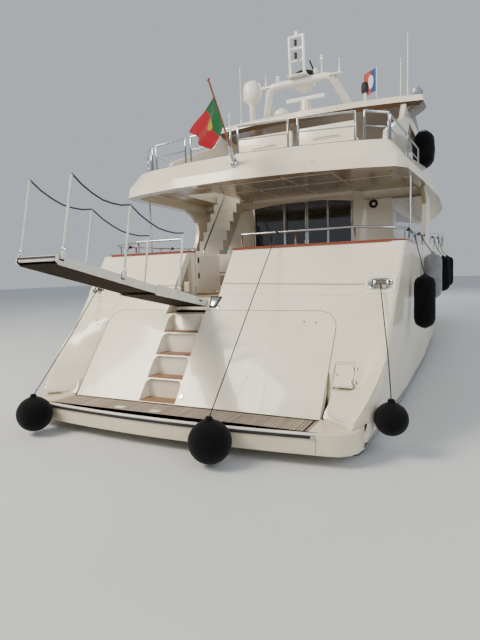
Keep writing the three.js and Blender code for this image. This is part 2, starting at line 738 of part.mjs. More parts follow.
function deckhouse() {
  let house = houseShell(0, HOUSE_WALL).subtract(belowDeck(SEAT));
  const recessShell = houseShell(-5, 20);
  [["side", 1], ["side", -1], ["front", 0], ["port_screen", 0], ["starboard_screen", 0]].forEach(([name, side]) => {
    const hole = windowBox(name, side, 0);
    house = house.subtract(recessShell.intersect(hole));
    house = house.subtract(windowBox(name, side, -60));
  });
  const pillars = [[-2500, -2300], [500, 700]].map((y) => houseShell(22, HOUSE_WALL)
    .intersect(box([-3000, 3000], y, [2900, 4200])));
  house = joined([house, ...pillars]);
  return house.subtract(box(DOORWAY_X, [-6700, -6200], [DOORWAY_SILL, DOORWAY_TOP]));
}

function pane(name, side) {
  return houseShell(4, 20 - SEAT).intersect(windowBox(name, side, -SEAT));
}

function doorLeaf(side) {
  const middle = (DOORWAY_X[0] + DOORWAY_X[1]) / 2;
  const x = side > 0 ? [middle + 3, DOORWAY_X[1] + LEAF_LAP] : [DOORWAY_X[0] - LEAF_LAP, middle - 3];
  const y = [SCREEN_Y + HOUSE_WALL + 5, SCREEN_Y + HOUSE_WALL + 5 + LEAF_THICK];
  return box(x, y, [SOLE_Z + 0.5, DOORWAY_TOP + 20]);
}

function cockpitSole() {
  return planPrism([[-2700, -10960], [2700, -10960], [2930, -10650], [2950, -6500], [2950, -6060], [1740, -6060],
    [1430, -6420], [-1430, -6420], [-1740, -6060], [-2950, -6060], [-2950, -6500], [-2930, -10650]],
  [SOLE_Z + SEAT, SOLE_Z + 16]).subtract(gatePost(SEAT));
}

// Upper deck: overhanging aft, its fascia leaning in, its side rising forward.
function rimHeight(y) {
  return lookup([[-8000, DECK2_RAIL_Z], [-5280, DECK2_RAIL_Z + 230], [-2550, DECK2_RAIL_Z + 450]], y);
}

function upperDeckForm() {
  const ring = mirrored(DECK2_OUTLINE);
  return stack([[ring, DECK2_LOW], [inset(ring, 40), DECK2_LOW + 200], [inset(ring, 330), rimHeight],
    [inset(ring, 475), rimHeight]]);
}

function upperDeck() {
  const ring = mirrored(DECK2_OUTLINE);
  const outer = upperDeckForm();
  const well = stack([[inset(ring, 470), DECK2_FLOOR], [inset(ring, 470), 6000]]);
  const under = stack([[inset(ring, 260), DECK2_LOW - 10], [inset(ring, 300), DECK2_SOFFIT]])
    .intersect(box([-4000, 4000], [-11000, SCREEN_BAND_Y], [4000, 5000]));
  const stairwell = box([STAIR_X[0] - 80, STAIR_X[1] + 80], [STAIR_Y[0] + 350, STAIR_Y[1] + 60], [4300, 5000]);
  const shell = outer.subtract(well).subtract(under).subtract(stairwell);
  return joined([shell, fashionPlate(1), fashionPlate(-1)]);
}

function stairs() {
  const rise = (DECK2_FLOOR - SOLE_Z - 20) / STAIR_STEPS;
  const run = (STAIR_Y[1] - STAIR_Y[0]) / STAIR_STEPS;
  const foot = SOLE_Z + 16 + SEAT;
  const points = [[STAIR_Y[0], foot]];
  for (let i = 0; i < STAIR_STEPS; i += 1) {
    const z = foot + rise * (i + 1) - 20;
    points.push([STAIR_Y[0] + run * i, z], [STAIR_Y[0] + run * (i + 1), z]);
  }
  points.push([STAIR_Y[1], DECK2_FLOOR - 420], [STAIR_Y[0] + 260, foot]);
  return sidePrism(points, STAIR_X);
}

function stairRail() {
  const x = STAIR_X[1] - 40;
  const foot = SOLE_Z + 16 + SEAT;
  const rail = tube(rounded([[x, -8750, foot], [x, -8750, 3150], [x, -6900, 5380], [x, -6400, 5380],
    [x, -6400, DECK2_FLOOR + SEAT]], 160), 20, ACROSS, 8);
  return rail;
}

// Plates that carry the overhang beside the cockpit, with a curved aft edge.
function fashionPlate(side) {
  const curve = new THREE.CubicBezierCurve(new THREE.Vector2(-7500, 4420), new THREE.Vector2(-6250, 4300),
    new THREE.Vector2(-6350, 3750), new THREE.Vector2(-6950, 3085));
  const points = [...curve.getPoints(10).map((p) => [p.x, p.y]), [-5700, 3085], [-5600, 4420]];
  const x = side > 0 ? [3095, 3195] : [-3195, -3095];
  const sleeve = sweep([railAt(-7600, side), railAt(-6500, side), railAt(-5400, side)],
    [[-30, -30], [30, -30], [30, 30], [-30, 30]]);
  return sidePrism(points, x).subtract(HULL_FORM.translate([0, 0, SEAT])).subtract(sleeve);
}

function hardtop() {
  const ring = mirrored(HARDTOP_OUTLINE);
  const roof = stack([[inset(ring, 90), HARDTOP_LOW], [ring, HARDTOP_LOW + 90], [inset(ring, 30), HARDTOP_HIGH - 60],
    [inset(ring, 260), HARDTOP_HIGH]]);
  return joined([roof, hardtopWing(1), hardtopWing(-1), radarPedestal(), ...aerials("hardtop")]);
}

function hardtopWing(side) {
  const outline = [[-8750, 5060], [-8600, 5380], [-7250, 5900], [-6400, 6200], [-6000, HARDTOP_LOW + 30],
    [-3300, HARDTOP_LOW + 30], [-2900, 6300], [-2600, 5200], [-2600, 4950], [-8750, 4950]];
  const light = [[-5900, 5750], [-5300, 6350], [-4000, 6350], [-3500, 5900], [-3500, 5550], [-5900, 5550]];
  const x = side > 0 ? [2540, 2660] : [-2660, -2540];
  const plate = sidePrism(outline, x).subtract(sidePrism(light, [-4000, 4000]));
  const foot = box(x, [-8700, -2650], [DECK2_FLOOR + SEAT, 5000]);
  return plate.add(foot);
}

// Steering position and seats on the upper deck.
function flyCoaming() {
  const ring = [[-2050, -1500], [2050, -1500], [2050, 1300], [1750, 2500], [1000, 3050], [0, 3200], [-1000, 3050],
    [-1750, 2500], [-2050, 1300]];
  const upper = ring.map(([x, y]) => [x * 0.93, y > 1000 ? y - 450 : y]);
  const outer = stack([[ring, DECK2_FLOOR + SEAT], [upper, 5650]]);
  const cut = stack([[inset(ring, 90), DECK2_FLOOR - 1], [inset(upper, 90), 5651]]);
  return outer.subtract(cut).subtract(box([-1700, 1700], [-1600, -1300], [4700, 5700]));
}

function flyWindscreen() {
  const ring = [[1900, 1250], [1630, 2020], [930, 2570], [0, 2720], [-930, 2570], [-1630, 2020], [-1900, 1250],
    [-1860, 1250], [-1600, 1995], [-915, 2532], [0, 2680], [915, 2532], [1600, 1995], [1860, 1250]];
  const upper = ring.map(([x, y]) => [x * 0.94, y - 260]);
  return stack([[ring, 5650 + SEAT], [upper, 6000]]);
}

function helmConsole() {
  return sidePrism([[300, DECK2_FLOOR + SEAT], [1500, DECK2_FLOOR + SEAT], [1500, 5500], [900, 5620], [500, 5350],
    [300, 5300]], [300, 1500]);
}

function flySettee() {
  const z = DECK2_FLOOR + SEAT;
  const back = box([-900, 1900], [-8250, -8110], [z, 5790]);
  const seat = box([-900, 1900], [-8150, -7500], [z, 5230]);
  const arm = box([1760, 1900], [-8250, -6900], [z, 5500]);
  return joined([back, seat, arm]);
}

// Whip aerials on the hardtop and the arch.
const AERIALS = {
  // x, y, foot z, head z, radius
  hardtop: [
    [-1880, -5950, HARDTOP_LOW + 150, 8450, 14],
    [-2340, -5800, HARDTOP_LOW + 150, 7300, 16],
    [2480, -5600, HARDTOP_LOW + 150, 7890, 14],
    [2640, -5500, HARDTOP_LOW + 150, 8540, 14],
  ],
  arch: [
    [1060, -6220, 7600, 7980, 13],
    [-980, -6220, 7600, 7950, 13],
    [600, -6220, 7600, 8120, 18],
    [-620, -6220, 7600, 7750, 20],
    [430, -6220, 7600, 7760, 20],
  ],
};

function aerials(group) {
  return AERIALS[group].map(([x, y, foot, head, radius]) => rod([x, y, foot], [x, y, head], radius, 8, radius * 0.7));
}

// Radar arch with its dome, aerials and the heads of the position receivers.
const ARCH_TUBE = 100;
const ARCH_TOP_Z = 7600;
const ARCH_TOP_Y = -6220;

function radarArch() {
  const foot = HARDTOP_HIGH - 60;
  const frame = sweep(rounded([[-1230, -5650, foot], [-850, ARCH_TOP_Y, ARCH_TOP_Z], [850, ARCH_TOP_Y, ARCH_TOP_Z],
    [1230, -5650, foot]], 170), circle(ARCH_TUBE, 8), ALONG);
  const ears = [-1, 1].map((side) => box(side > 0 ? [780, 1120] : [-1120, -780], [-6290, -6150],
    [ARCH_TOP_Z - 25, ARCH_TOP_Z + 25]));
  const dome = ball([0, -5890, ARCH_TOP_Z + 80], 310, 14, 0.8);
  const heads = [[-620, 7750, 62], [430, 7760, 62], [600, 8120, 50]]
    .map(([x, z, radius]) => ball([x, ARCH_TOP_Y, z], radius, 12, 0.7));
  const belowRoof = box([-2000, 2000], [-7000, -5000], [6000, HARDTOP_HIGH + SEAT]);
  return joined([frame, ...ears, dome, ...aerials("arch"), ...heads]).subtract(belowRoof);
}

function ladderMast() {
  const seat = ARCH_TOP_Z + ARCH_TUBE * Math.cos(Math.PI / 8) + SEAT;
  const saddle = box([-260, 260], [-6480, -6205], [seat, seat + 22]);
  const legs = [-190, 190].map((x) => rod([x, -6400, seat + 5], [x, -6480, 8650], 42, 8));
  const bars = [[8640, -6479], [8350, -6457], [8050, -6433]].map(([z, y]) => rod([-190, y, z], [190, y, z], 36, 8));
  const top = rod([0, -6479, 8640], [0, -6479, 8760], 40, 10);
  return joined([saddle, ...legs, ...bars, top]);
}

function satDome() {
  const profile = [[0, 0], [90, 0], [90, 550], [170, 590], [255, 680], [265, 860], [265, 1000], [225, 1120],
    [120, 1190], [0, 1205]].map(([r, z]) => new THREE.Vector2(r, z));
  const geometry = new THREE.LatheGeometry(profile, 20);
  geometry.rotateX(Math.PI / 2);
  geometry.translate(-1650, -5650, HARDTOP_HIGH + SEAT);
  return solid(geometry);
}

const SCANNER = [-250, -5000, 7490];
const SCANNER_HALF = 580;

function radarPedestal() {
  const [x, y, top] = SCANNER;
  return rod([x, y, HARDTOP_HIGH - 20], [x, y, top], 190, 16, 130);
}

function radarScanner() {
  const [x, y, top] = SCANNER;
  const bar = box([x - SCANNER_HALF, x + SCANNER_HALF], [y - 50, y + 50], [top + 35, top + 130]);
  return bar.add(rod([x, y, top + SEAT], [x, y, top + 70], 60, 16));
}

// Gate across the opening in the stern bulwark, stored open along the cockpit.
function sternGate() {
  const [x, y] = GATE_HINGE;
  const leaf = box([x - 2, x + 34], [y + 10, y + 1000], [SOLE_Z + 60, 2990]);
  const knuckles = [2330, 2800].map((z) => rod([x, y, z], [x, y, z + 90], 15, 12));
  const arms = [2340, 2810].map((z) => box([x - 2, x + 10], [y, y + 20], [z, z + 70]));
  return joined([leaf, ...knuckles, ...arms]);
}

// Stainless rails. Posts stand on the caps; hoops stand on the upper deck's fascia.
const RAIL_BASES = [-11800, -11000, -9500, -7500, -5200, -3500, -1500, 500, 2500, 4500, 6500, 8200, 9500, 10300];
const RAIL_HEIGHTS = [[-12540, 240], [-6000, 240], [0, 330], [5000, 520], [10600, 620]];
const RAIL_RADIUS = 21;
const CAP_AFT_OF = -9000;
const CAP_THICK = 36;

// Side posts of the bulwark rail: on the varnished cap aft, on the bulwark forward of it.
function railPosts() {
  return RAIL_BASES.map((y) => {
    const [x, sy, z] = capEdge(y, 75);
    const foot = z + (sy < CAP_AFT_OF ? CAP_THICK + 0.6 : SEAT);
    return { foot: [x, sy, foot], head: [x, sy, z + lookup(RAIL_HEIGHTS, y)] };
  });
}

function bulwarkRail() {
  const side = railPosts();
  const transomPosts = [150, 1250, 2350].map((x) => ({
    foot: [x, transomY(3040) + 140, 3040 + CAP_THICK + SEAT],
    head: [x, transomY(3040) + 140, 3330],
  }));
  const corner = [2960, transomY(3040) + 190, 3285];
  const starboard = [...transomPosts, ...side];
  const path = [...transomPosts.map((p) => p.head), corner, ...side.map((p) => p.head)];
  const bowPoint = [0, BOW_Y + 60, 4760];
  const flip = ([x, y, z]) => [-x, y, z];
  const portPath = [...path.slice(1), bowPoint].map(flip);
  portPath[0] = [-1250, transomY(3040) + 140, 3330];
  const rails = [tube([...path, bowPoint], RAIL_RADIUS), tube(portPath, RAIL_RADIUS)];
  const posts = starboard.map((p) => rod(p.foot, p.head, 17, 6));
  const portPosts = starboard.slice(1).map((p) => rod(flip(p.foot), flip(p.head), 17, 6));
  return joined([...rails, ...posts, ...portPosts]).subtract(HULL_FORM.translate([0, 0, SEAT]));
}

// Centre line of the upper deck's rim across the stern, at an x, and along the side, at a y.
const RIM = inset(mirrored(DECK2_OUTLINE), 400).filter(([x]) => x >= 0);

function rimAft(x) {
  const stern = RIM.filter(([, y]) => y < -9300);
  return [x, lookup(stern, Math.abs(x)), DECK2_RAIL_Z];
}

function rimSide(y, side) {
  const flank = RIM.filter(([x, b]) => x > 1500 && b > -9500).map(([a, b]) => [b, a]);
  return [side * lookup(flank, y), y, rimHeight(y)];
}

const STERN_HOOPS = [[-2250, -1360], [-1210, -220], [-50, 980], [1170, 2220]];
const SIDE_HOOPS = [[-9200, -7700], [-7550, -6050]];
const HOOP_TOP = 5490;

function raised([x, y], z) {
  return [x, y, z];
}

function hoop(points, postsAt) {
  const top = tube(points.map((p) => raised(p, HOOP_TOP)), 20);
  const middle = tube(points.map((p) => raised(p, 5230)), 12);
  const posts = postsAt.map((p) => rod([p[0], p[1], p[2]], raised(p, HOOP_TOP + 12), 20, 8));
  return joined([top, middle, ...posts]);
}

function upperRail() {
  const hoops = STERN_HOOPS.map(([a, b]) => hoop([rimAft(a), rimAft(b)], [rimAft(a), rimAft(b)]));
  [-1, 1].forEach((side) => {
    const corner = [rimAft(side * 2380), rimSide(-9350, side)];
    hoops.push(hoop(corner, corner));
    SIDE_HOOPS.forEach(([a, b]) => {
      const ends = [rimSide(a, side), rimSide(b, side)];
      hoops.push(hoop(ends, ends));
    });
  });
  const flank = (side) => [-6000, -6700, -7500, -8500, -9350].map((y) => rimSide(y, side));
  const across = [2380, 2220, 1170, 980, 0, -220, -1210, -1360, -2250, -2380].map(rimAft);
  const line = [...flank(1), ...across, ...flank(-1).reverse()];
  const toe = sweep(line, [[-30, -20], [30, -20], [30, 24], [-30, 24]]);
  return joined([toe, ...hoops]).subtract(upperDeckForm().translate([0, 0, SEAT]));
}

// Varnished caps on the stern bulwark, from the gate round each quarter.
function teakCap(side) {
  const inner = side > 0 ? GATE_X[1] : -GATE_X[0];
  const mid = transomY(3040) + 140;
  const quarter = [FOOT_Y + 700, -11200, -10400].map((y) => capEdge(y, 75));
  const path = [[inner, mid, 3040], [2600, mid, 3040], [2950, mid, 3040], [3075, mid + 45, 3040],
    [3120, mid + 170, 3040], ...quarter]
    .map(([x, y, z]) => [side * x, y, z + CAP_THICK - 20]);
  const half = (i) => (i < 3 ? 165 : 100);
  const caps = sweep(path, (i) => [[-half(i), -20], [half(i), -20], [half(i), 20], [-half(i), 20]]);
  return caps.subtract(HULL_FORM.translate([0, 0, SEAT])).subtract(HULL_FORM.translate([side * SEAT, 0, 0]));
}

// Awning poles between the side caps and the overhang.
function awningPole(side) {
  return rod([side * 3096, -8900, 3062], [side * 3096, -8900, DECK2_LOW - SEAT], 22, 12);
}

// Inflated fenders hung from the rail by a lanyard with a hitch round it.
const FENDERS = [
  // name, x, y, z of the middle, radius, half height
  ["fender_starboard_1", 3440, -9700, 1970, 190, 485],
  ["fender_starboard_2", 3440, -7900, 2400, 190, 485],
  ["fender_starboard_3", 3440, -4300, 2400, 190, 485],
  ["fender_starboard_4", 3440, -2190, 2450, 190, 485],
  ["fender_port_1", -3440, -9700, 1970, 190, 485],
  ["fender_port_2", -3440, -7900, 2400, 190, 485],
  ["fender_port_3", -3440, -4300, 2400, 190, 485],
];

// Point on the side rail's centre line.
function railAt(y, side) {
  const rows = railPosts().map(({ head: [x, b, z] }) => [b, x, z]);
  return [side * lookup(rows, y, 1), y, lookup(rows, y, 2)];
}

// Turns of a lanyard round a rail; spot gives the rail's centre at a distance along it.
function hitch(spot) {
  return tube([spot(-30), spot(30)], 36, UP, 12).subtract(tube([spot(-40), spot(40)], RAIL_RADIUS + 0.35));
}

function fender([, x, y, z, radius, half]) {
  const side = Math.sign(x);
  const profile = [[0, -half], [60, -half], [80, -half + 60], [radius * 0.85, -half + 130], [radius, -half + 220],
    [radius, half - 220], [radius * 0.85, half - 130], [80, half - 60], [60, half], [0, half]]
    .map(([r, h]) => new THREE.Vector2(r, h));
  const geometry = new THREE.LatheGeometry(profile, 12);
  geometry.rotateX(Math.PI / 2);
  geometry.translate(x, y, z);
  const rail = railAt(y, side);
  const line = [[x, y, z + half - 10], [side * 3275, y, 3120], [rail[0] + side * 29, y, rail[2]]];
  return joined([solid(geometry), tube(line, 9, ALONG, 6), hitch((reach) => railAt(y + reach, side))]);
}

const STAFF_FOOT = [0, -10300, 4760];
const STAFF_HEAD = [0, -11270, 5980];
const STAFF_RADIUS = 21;

// Ball fenders at the stern; the outer two hang on lines that lead into the mooring ports.
const BALLS = [
  // name, x, y, z, radius, bend of its line to a mooring port if it has one
  ["fender_ball_port", -2350, -13453.9, 350, 290, [-2625, -12275, 1500]],
  ["fender_ball_centre", 1080, -13573.4, 340, 300, null],
  ["fender_ball_starboard", 3259.9, -12400, 540, 230, [3175, -12070, 1250]],
];

function ballFender([, x, y, z, radius, bend]) {
  const start = [x, y, z + radius + 20];
  const parts = [ball([x, y, z], radius, 14), rod([x, y, z + radius - 20], [x, y, z + radius + 50], 40, 8)];
  if (bend) {
    const inPort = (out) => transomPoint(Math.sign(x) * FAIRLEAD[0], FAIRLEAD[1], out);
    parts.push(tube([start, bend, inPort(60), inPort(SEAT - FAIRLEAD_DEPTH)], 9, ALONG, 6));
  }
  return joined(parts);
}

function ensignStaff() {
  const bracket = rod([0, -10130, 4690], [0, -10395, 4780], 60, 10);
  const staff = joined([rod(STAFF_FOOT, STAFF_HEAD, STAFF_RADIUS, 8), ball(STAFF_HEAD, 34, 8), bracket]);
  return staff.subtract(upperDeckForm().translate([0, -SEAT, 0]));
}

// Ensign hanging from the staff: its outline in side view, cut to lie against the staff.
function flag() {
  const outline = [[-11760, 5250], [-11970, 4940], [-11620, 4850], [-11380, 4740], [-11050, 5020], [-10730, 5300],
    [-11070, 5730]];
  return sidePrism(outline, [-10, 10]).subtract(rod(STAFF_FOOT, STAFF_HEAD, STAFF_RADIUS + SEAT, 8));
}

// Covered liferaft that stands on the starboard rim of the upper deck.
function liferaft() {
  const geometry = new THREE.CapsuleGeometry(270, 420, 4, 14);
  geometry.rotateX(Math.PI / 2);
  geometry.translate(3000, -5200, 5640);
  const foot = box([2900, 3060], [-5350, -5050], [5150, 5300]);
  return solid(geometry).add(foot).subtract(upperDeckForm().translate([0, 0, SEAT]));
}

function cockpitSofa() {
  const z = SOLE_Z + 16 + SEAT;
  const seat = box([200, 2500], [-10250, -9500], [z, z + 420]);
  const back = sidePrism([[-10400, z], [-10250, z], [-10180, z + 800], [-10300, z + 820]], [200, 2500]);
  return seat.add(back);
}

function cockpitTable() {
  const z = SOLE_Z + 16 + SEAT;
  const top = box([500, 2100], [-9200, -8300], [z + 700, z + 745]);
  const legs = [900, 1700].map((x) => rod([x, -8750, z], [x, -8750, z + 710], 60, 12));
  return joined([top, ...legs]);
}

// Raised moulding of the foredeck ahead of the windscreen.
function foredeckTrunk() {
  const ring = [[-1250, 6500], [1250, 6500], [1050, 9600], [700, 10200], [-700, 10200], [-1050, 9600]];
  return stack([[ring, 2900], [inset(ring, 80), 3620]]);
}

function sunpad() {
  const ring = [[-1050, 6700], [1050, 6700], [900, 9000], [-900, 9000]];
  return stack([[ring, 3620 + SEAT], [inset(ring, 40), 3740]]);
}

function windlass() {
  const z = 3390;
  const drum = joined([rod([-330, 11250, z + 20], [-330, 11250, z + 300], 110, 14),
    rod([330, 11250, z + 20], [330, 11250, z + 300], 110, 14)]);
  const base = box([-500, 500], [11100, 11400], [3100, z + 40]);
  return drum.add(base).subtract(belowDeck(SEAT));
}

function anchor() {
  const roller = 4140 + SEAT;
  const shank = sidePrism([[12700, 4200], [13700, 4200], [13740, 4160], [13700, 4100], [13280, roller],
    [12700, roller]], [-35, 35]);
  const fluke = stack([
    [[[-260, 13330], [260, 13330], [30, 13800], [-30, 13800]], 3900],
    [[[-120, 13380], [120, 13380], [30, 13740], [-30, 13740]], 4130],
  ]);
  return shank.add(fluke);
}

function engine(side) {
  return box([side * 750 - 500, side * 750 + 500], [-7600, -5200], [-250 + SEAT, 950]);
}

// The boat, piece by piece.
addPart("hull", hullBody(), "gelcoat");
addPart("swim_platform", platform(), "gelcoat");
addPart("platform_teak", platformTeak(), "teak");
addPart("garage_door", garageDoor(), "gelcoat");
addPart("locker_hatch", lockerHatch(), "gelcoat");
addPart("stern_gate", sternGate(), "gelcoat");
addPart("cockpit_sole", cockpitSole(), "teak");
addPart("deckhouse", deckhouse(), "gelcoat");
addPart("side_glass_starboard", pane("side", 1), "glass");
addPart("side_glass_port", pane("side", -1), "glass");
addPart("windscreen_glass", pane("front", 0), "glass");
addPart("screen_glass_port", pane("port_screen", 0), "glass");
addPart("screen_glass_starboard", pane("starboard_screen", 0), "glass");
addPart("saloon_door_port", doorLeaf(-1), "glass");
addPart("saloon_door_starboard", doorLeaf(1), "glass");
addPart("upper_deck", upperDeck(), "gelcoat");
addPart("stairs", stairs(), "gelcoat");
addPart("stair_rail", stairRail(), "steel");
addPart("hardtop", hardtop(), "gelcoat");
addPart("fly_coaming", flyCoaming(), "gelcoat");
addPart("fly_windscreen", flyWindscreen(), "glass");
addPart("helm_console", helmConsole(), "gelcoat");
addPart("fly_settee", flySettee(), "cushion");
addPart("radar_arch", radarArch(), "gelcoat");
addPart("ladder_mast", ladderMast(), "gelcoat");
addPart("sat_dome", satDome(), "gelcoat");
addPart("radar_scanner", radarScanner(), "gelcoat");
addPart("bulwark_rail", bulwarkRail(), "steel");
addPart("upper_rail", upperRail(), "steel");
addPart("teak_cap_starboard", teakCap(1), "varnish");
addPart("teak_cap_port", teakCap(-1), "varnish");
addPart("awning_pole_starboard", awningPole(1), "steel");
addPart("awning_pole_port", awningPole(-1), "steel");
addPart("passerelle", onPlank(plank()), "steel");
addPart("passerelle_rope_starboard", plankRope(PLANK_X[1] - 14), "rope");
addPart("passerelle_rope_port", plankRope(PLANK_X[0] + 14), "rope");
addPart("propeller_starboard", propeller(1), "bronze");
addPart("propeller_port", propeller(-1), "bronze");
addPart("rudder_starboard", rudder(1), "bronze");
addPart("rudder_port", rudder(-1), "bronze");
FENDERS.forEach((row) => addPart(row[0], fender(row), "black"));
BALLS.forEach((row) => addPart(row[0], ballFender(row), "black"));
addPart("ensign_staff", ensignStaff(), "varnish");
addPart("ensign_flag", flag(), "flag");
addPart("liferaft", liferaft(), "black");
addPart("cockpit_sofa", cockpitSofa(), "cushion");
addPart("cockpit_table", cockpitTable(), "teak");
addPart("foredeck_sunpad", sunpad(), "cushion");
addPart("windlass", windlass(), "steel");
addPart("anchor", anchor(), "steel");
addPart("engine_starboard", engine(1), "engine");
addPart("engine_port", engine(-1), "engine");

export default boat;
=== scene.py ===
"""Looks of a 26.5 metre motor yacht afloat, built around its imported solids.

Metres, +X to starboard, +Y to the bow, +Z up; the floor is the waterline.
"""

from __future__ import annotations

import json
import logging
import math
from dataclasses import dataclass
from enum import Enum
from typing import Any, Callable, Iterable, Sequence

import bpy
from mathutils import Matrix, Vector
from mathutils.bvhtree import BVHTree

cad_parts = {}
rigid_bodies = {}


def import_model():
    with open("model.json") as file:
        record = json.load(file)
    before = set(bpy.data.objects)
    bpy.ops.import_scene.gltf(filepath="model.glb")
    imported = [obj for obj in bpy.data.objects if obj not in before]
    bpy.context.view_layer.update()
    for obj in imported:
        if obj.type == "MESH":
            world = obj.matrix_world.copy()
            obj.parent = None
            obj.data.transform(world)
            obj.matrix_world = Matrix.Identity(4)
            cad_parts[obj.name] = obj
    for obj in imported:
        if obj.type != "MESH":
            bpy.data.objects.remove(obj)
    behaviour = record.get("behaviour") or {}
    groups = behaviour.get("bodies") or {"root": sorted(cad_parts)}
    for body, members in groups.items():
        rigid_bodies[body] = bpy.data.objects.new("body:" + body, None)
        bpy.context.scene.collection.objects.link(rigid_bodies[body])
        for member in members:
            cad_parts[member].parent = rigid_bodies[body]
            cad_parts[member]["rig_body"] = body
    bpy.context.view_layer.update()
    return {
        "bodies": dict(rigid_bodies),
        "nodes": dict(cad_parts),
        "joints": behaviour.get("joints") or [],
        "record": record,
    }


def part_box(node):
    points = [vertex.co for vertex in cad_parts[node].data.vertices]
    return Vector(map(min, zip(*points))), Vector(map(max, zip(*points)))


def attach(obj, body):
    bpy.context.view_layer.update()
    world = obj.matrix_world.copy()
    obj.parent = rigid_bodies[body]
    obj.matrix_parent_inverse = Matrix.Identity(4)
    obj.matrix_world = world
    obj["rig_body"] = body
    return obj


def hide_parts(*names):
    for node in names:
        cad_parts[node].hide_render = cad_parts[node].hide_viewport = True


Tree = bpy.types.NodeTree
Socket = bpy.types.NodeSocket
Piece = bpy.types.Object
Coords = Sequence[float]
Flat = tuple[float, float]
Flats = tuple[Flat, ...]
Floats = tuple[float, ...]

LOG = logging.getLogger("yacht")
MM = 0.001
# The sRGB curve: end of its straight part, slope there, offset and power above it.
KNEE, STRAIGHT, OFFSET, POWER = 0.04045, 12.92, 0.055, 2.4
# A colour mix: its settings, and the numbers of its factor, its two colours and its result.
COLOURS = {"data_type": "RGBA"}
FACTOR, FIRST, SECOND, MIXED = 0, 6, 7, 2
COAT_ROUGHNESS = 0.06
# Turns the width of one stripe into the scale of a banded wave.
WAVE = 0.314


class Slot(str, Enum):
    """Material slots of the record."""

    GELCOAT = "gelcoat"
    TEAK = "teak"
    VARNISH = "varnished_wood"
    STEEL = "stainless"
    GLASS = "dark_glass"
    COVER = "fender_cover"
    CUSHION = "cushion"
    METAL = "passerelle_metal"
    ROPE = "rope"
    FLAG = "flag_cloth"


class Body(str, Enum):
    """Moving bodies that new pieces ride on."""

    HULL = "hull"
    GARAGE = "garage_door"
    LOCKER = "locker_hatch"
    GATE = "stern_gate"
    PLANK = "passerelle"
    DOOR_PORT = "saloon_door_port"
    DOOR_STARBOARD = "saloon_door_starboard"
    SCANNER = "radar_scanner"


class Axis(Enum):
    """Direction in which a pattern's lines follow one another."""

    X = "X"
    Y = "Y"
    Z = "Z"
    SLANT = "DIAGONAL"


# ---- finishes -------------------------------------------------------------------------------------


def linear(colour: str) -> tuple[float, float, float, float]:
    """Turns an sRGB hex colour into linear light.

    Args:
        colour: Six hex digits with a leading hash.

    Returns:
        Linear red, green, blue and an alpha of one.
    """
    parts = [int(colour[i : i + 2], 16) / 255 for i in (1, 3, 5)]
    red, green, blue = (c / STRAIGHT if c <= KNEE else ((c + OFFSET) / (1 + OFFSET)) ** POWER for c in parts)
    return (red, green, blue, 1.0)


def add_node(
    tree: Tree, kind: str, settings: dict[str, Any] | None, inputs: dict[Any, Any], output: int | str = 0
) -> Socket:
    """Adds one shader node.

    Args:
        tree: Tree that gets the node.
        kind: The node's type name, without its prefix.
        settings: Properties to set on it.
        inputs: Socket name or number to a value, or to an output socket to link.
        output: Name or number of the output that is wanted.

    Returns:
        That output of the new node.
    """
    node = tree.nodes.new(f"ShaderNode{kind}")
    for name, value in (settings or {}).items():
        setattr(node, name, value)
    for socket, value in inputs.items():
        if isinstance(value, Socket):
            tree.links.new(value, node.inputs[socket])
        else:
            node.inputs[socket].default_value = value
    return node.outputs[output]


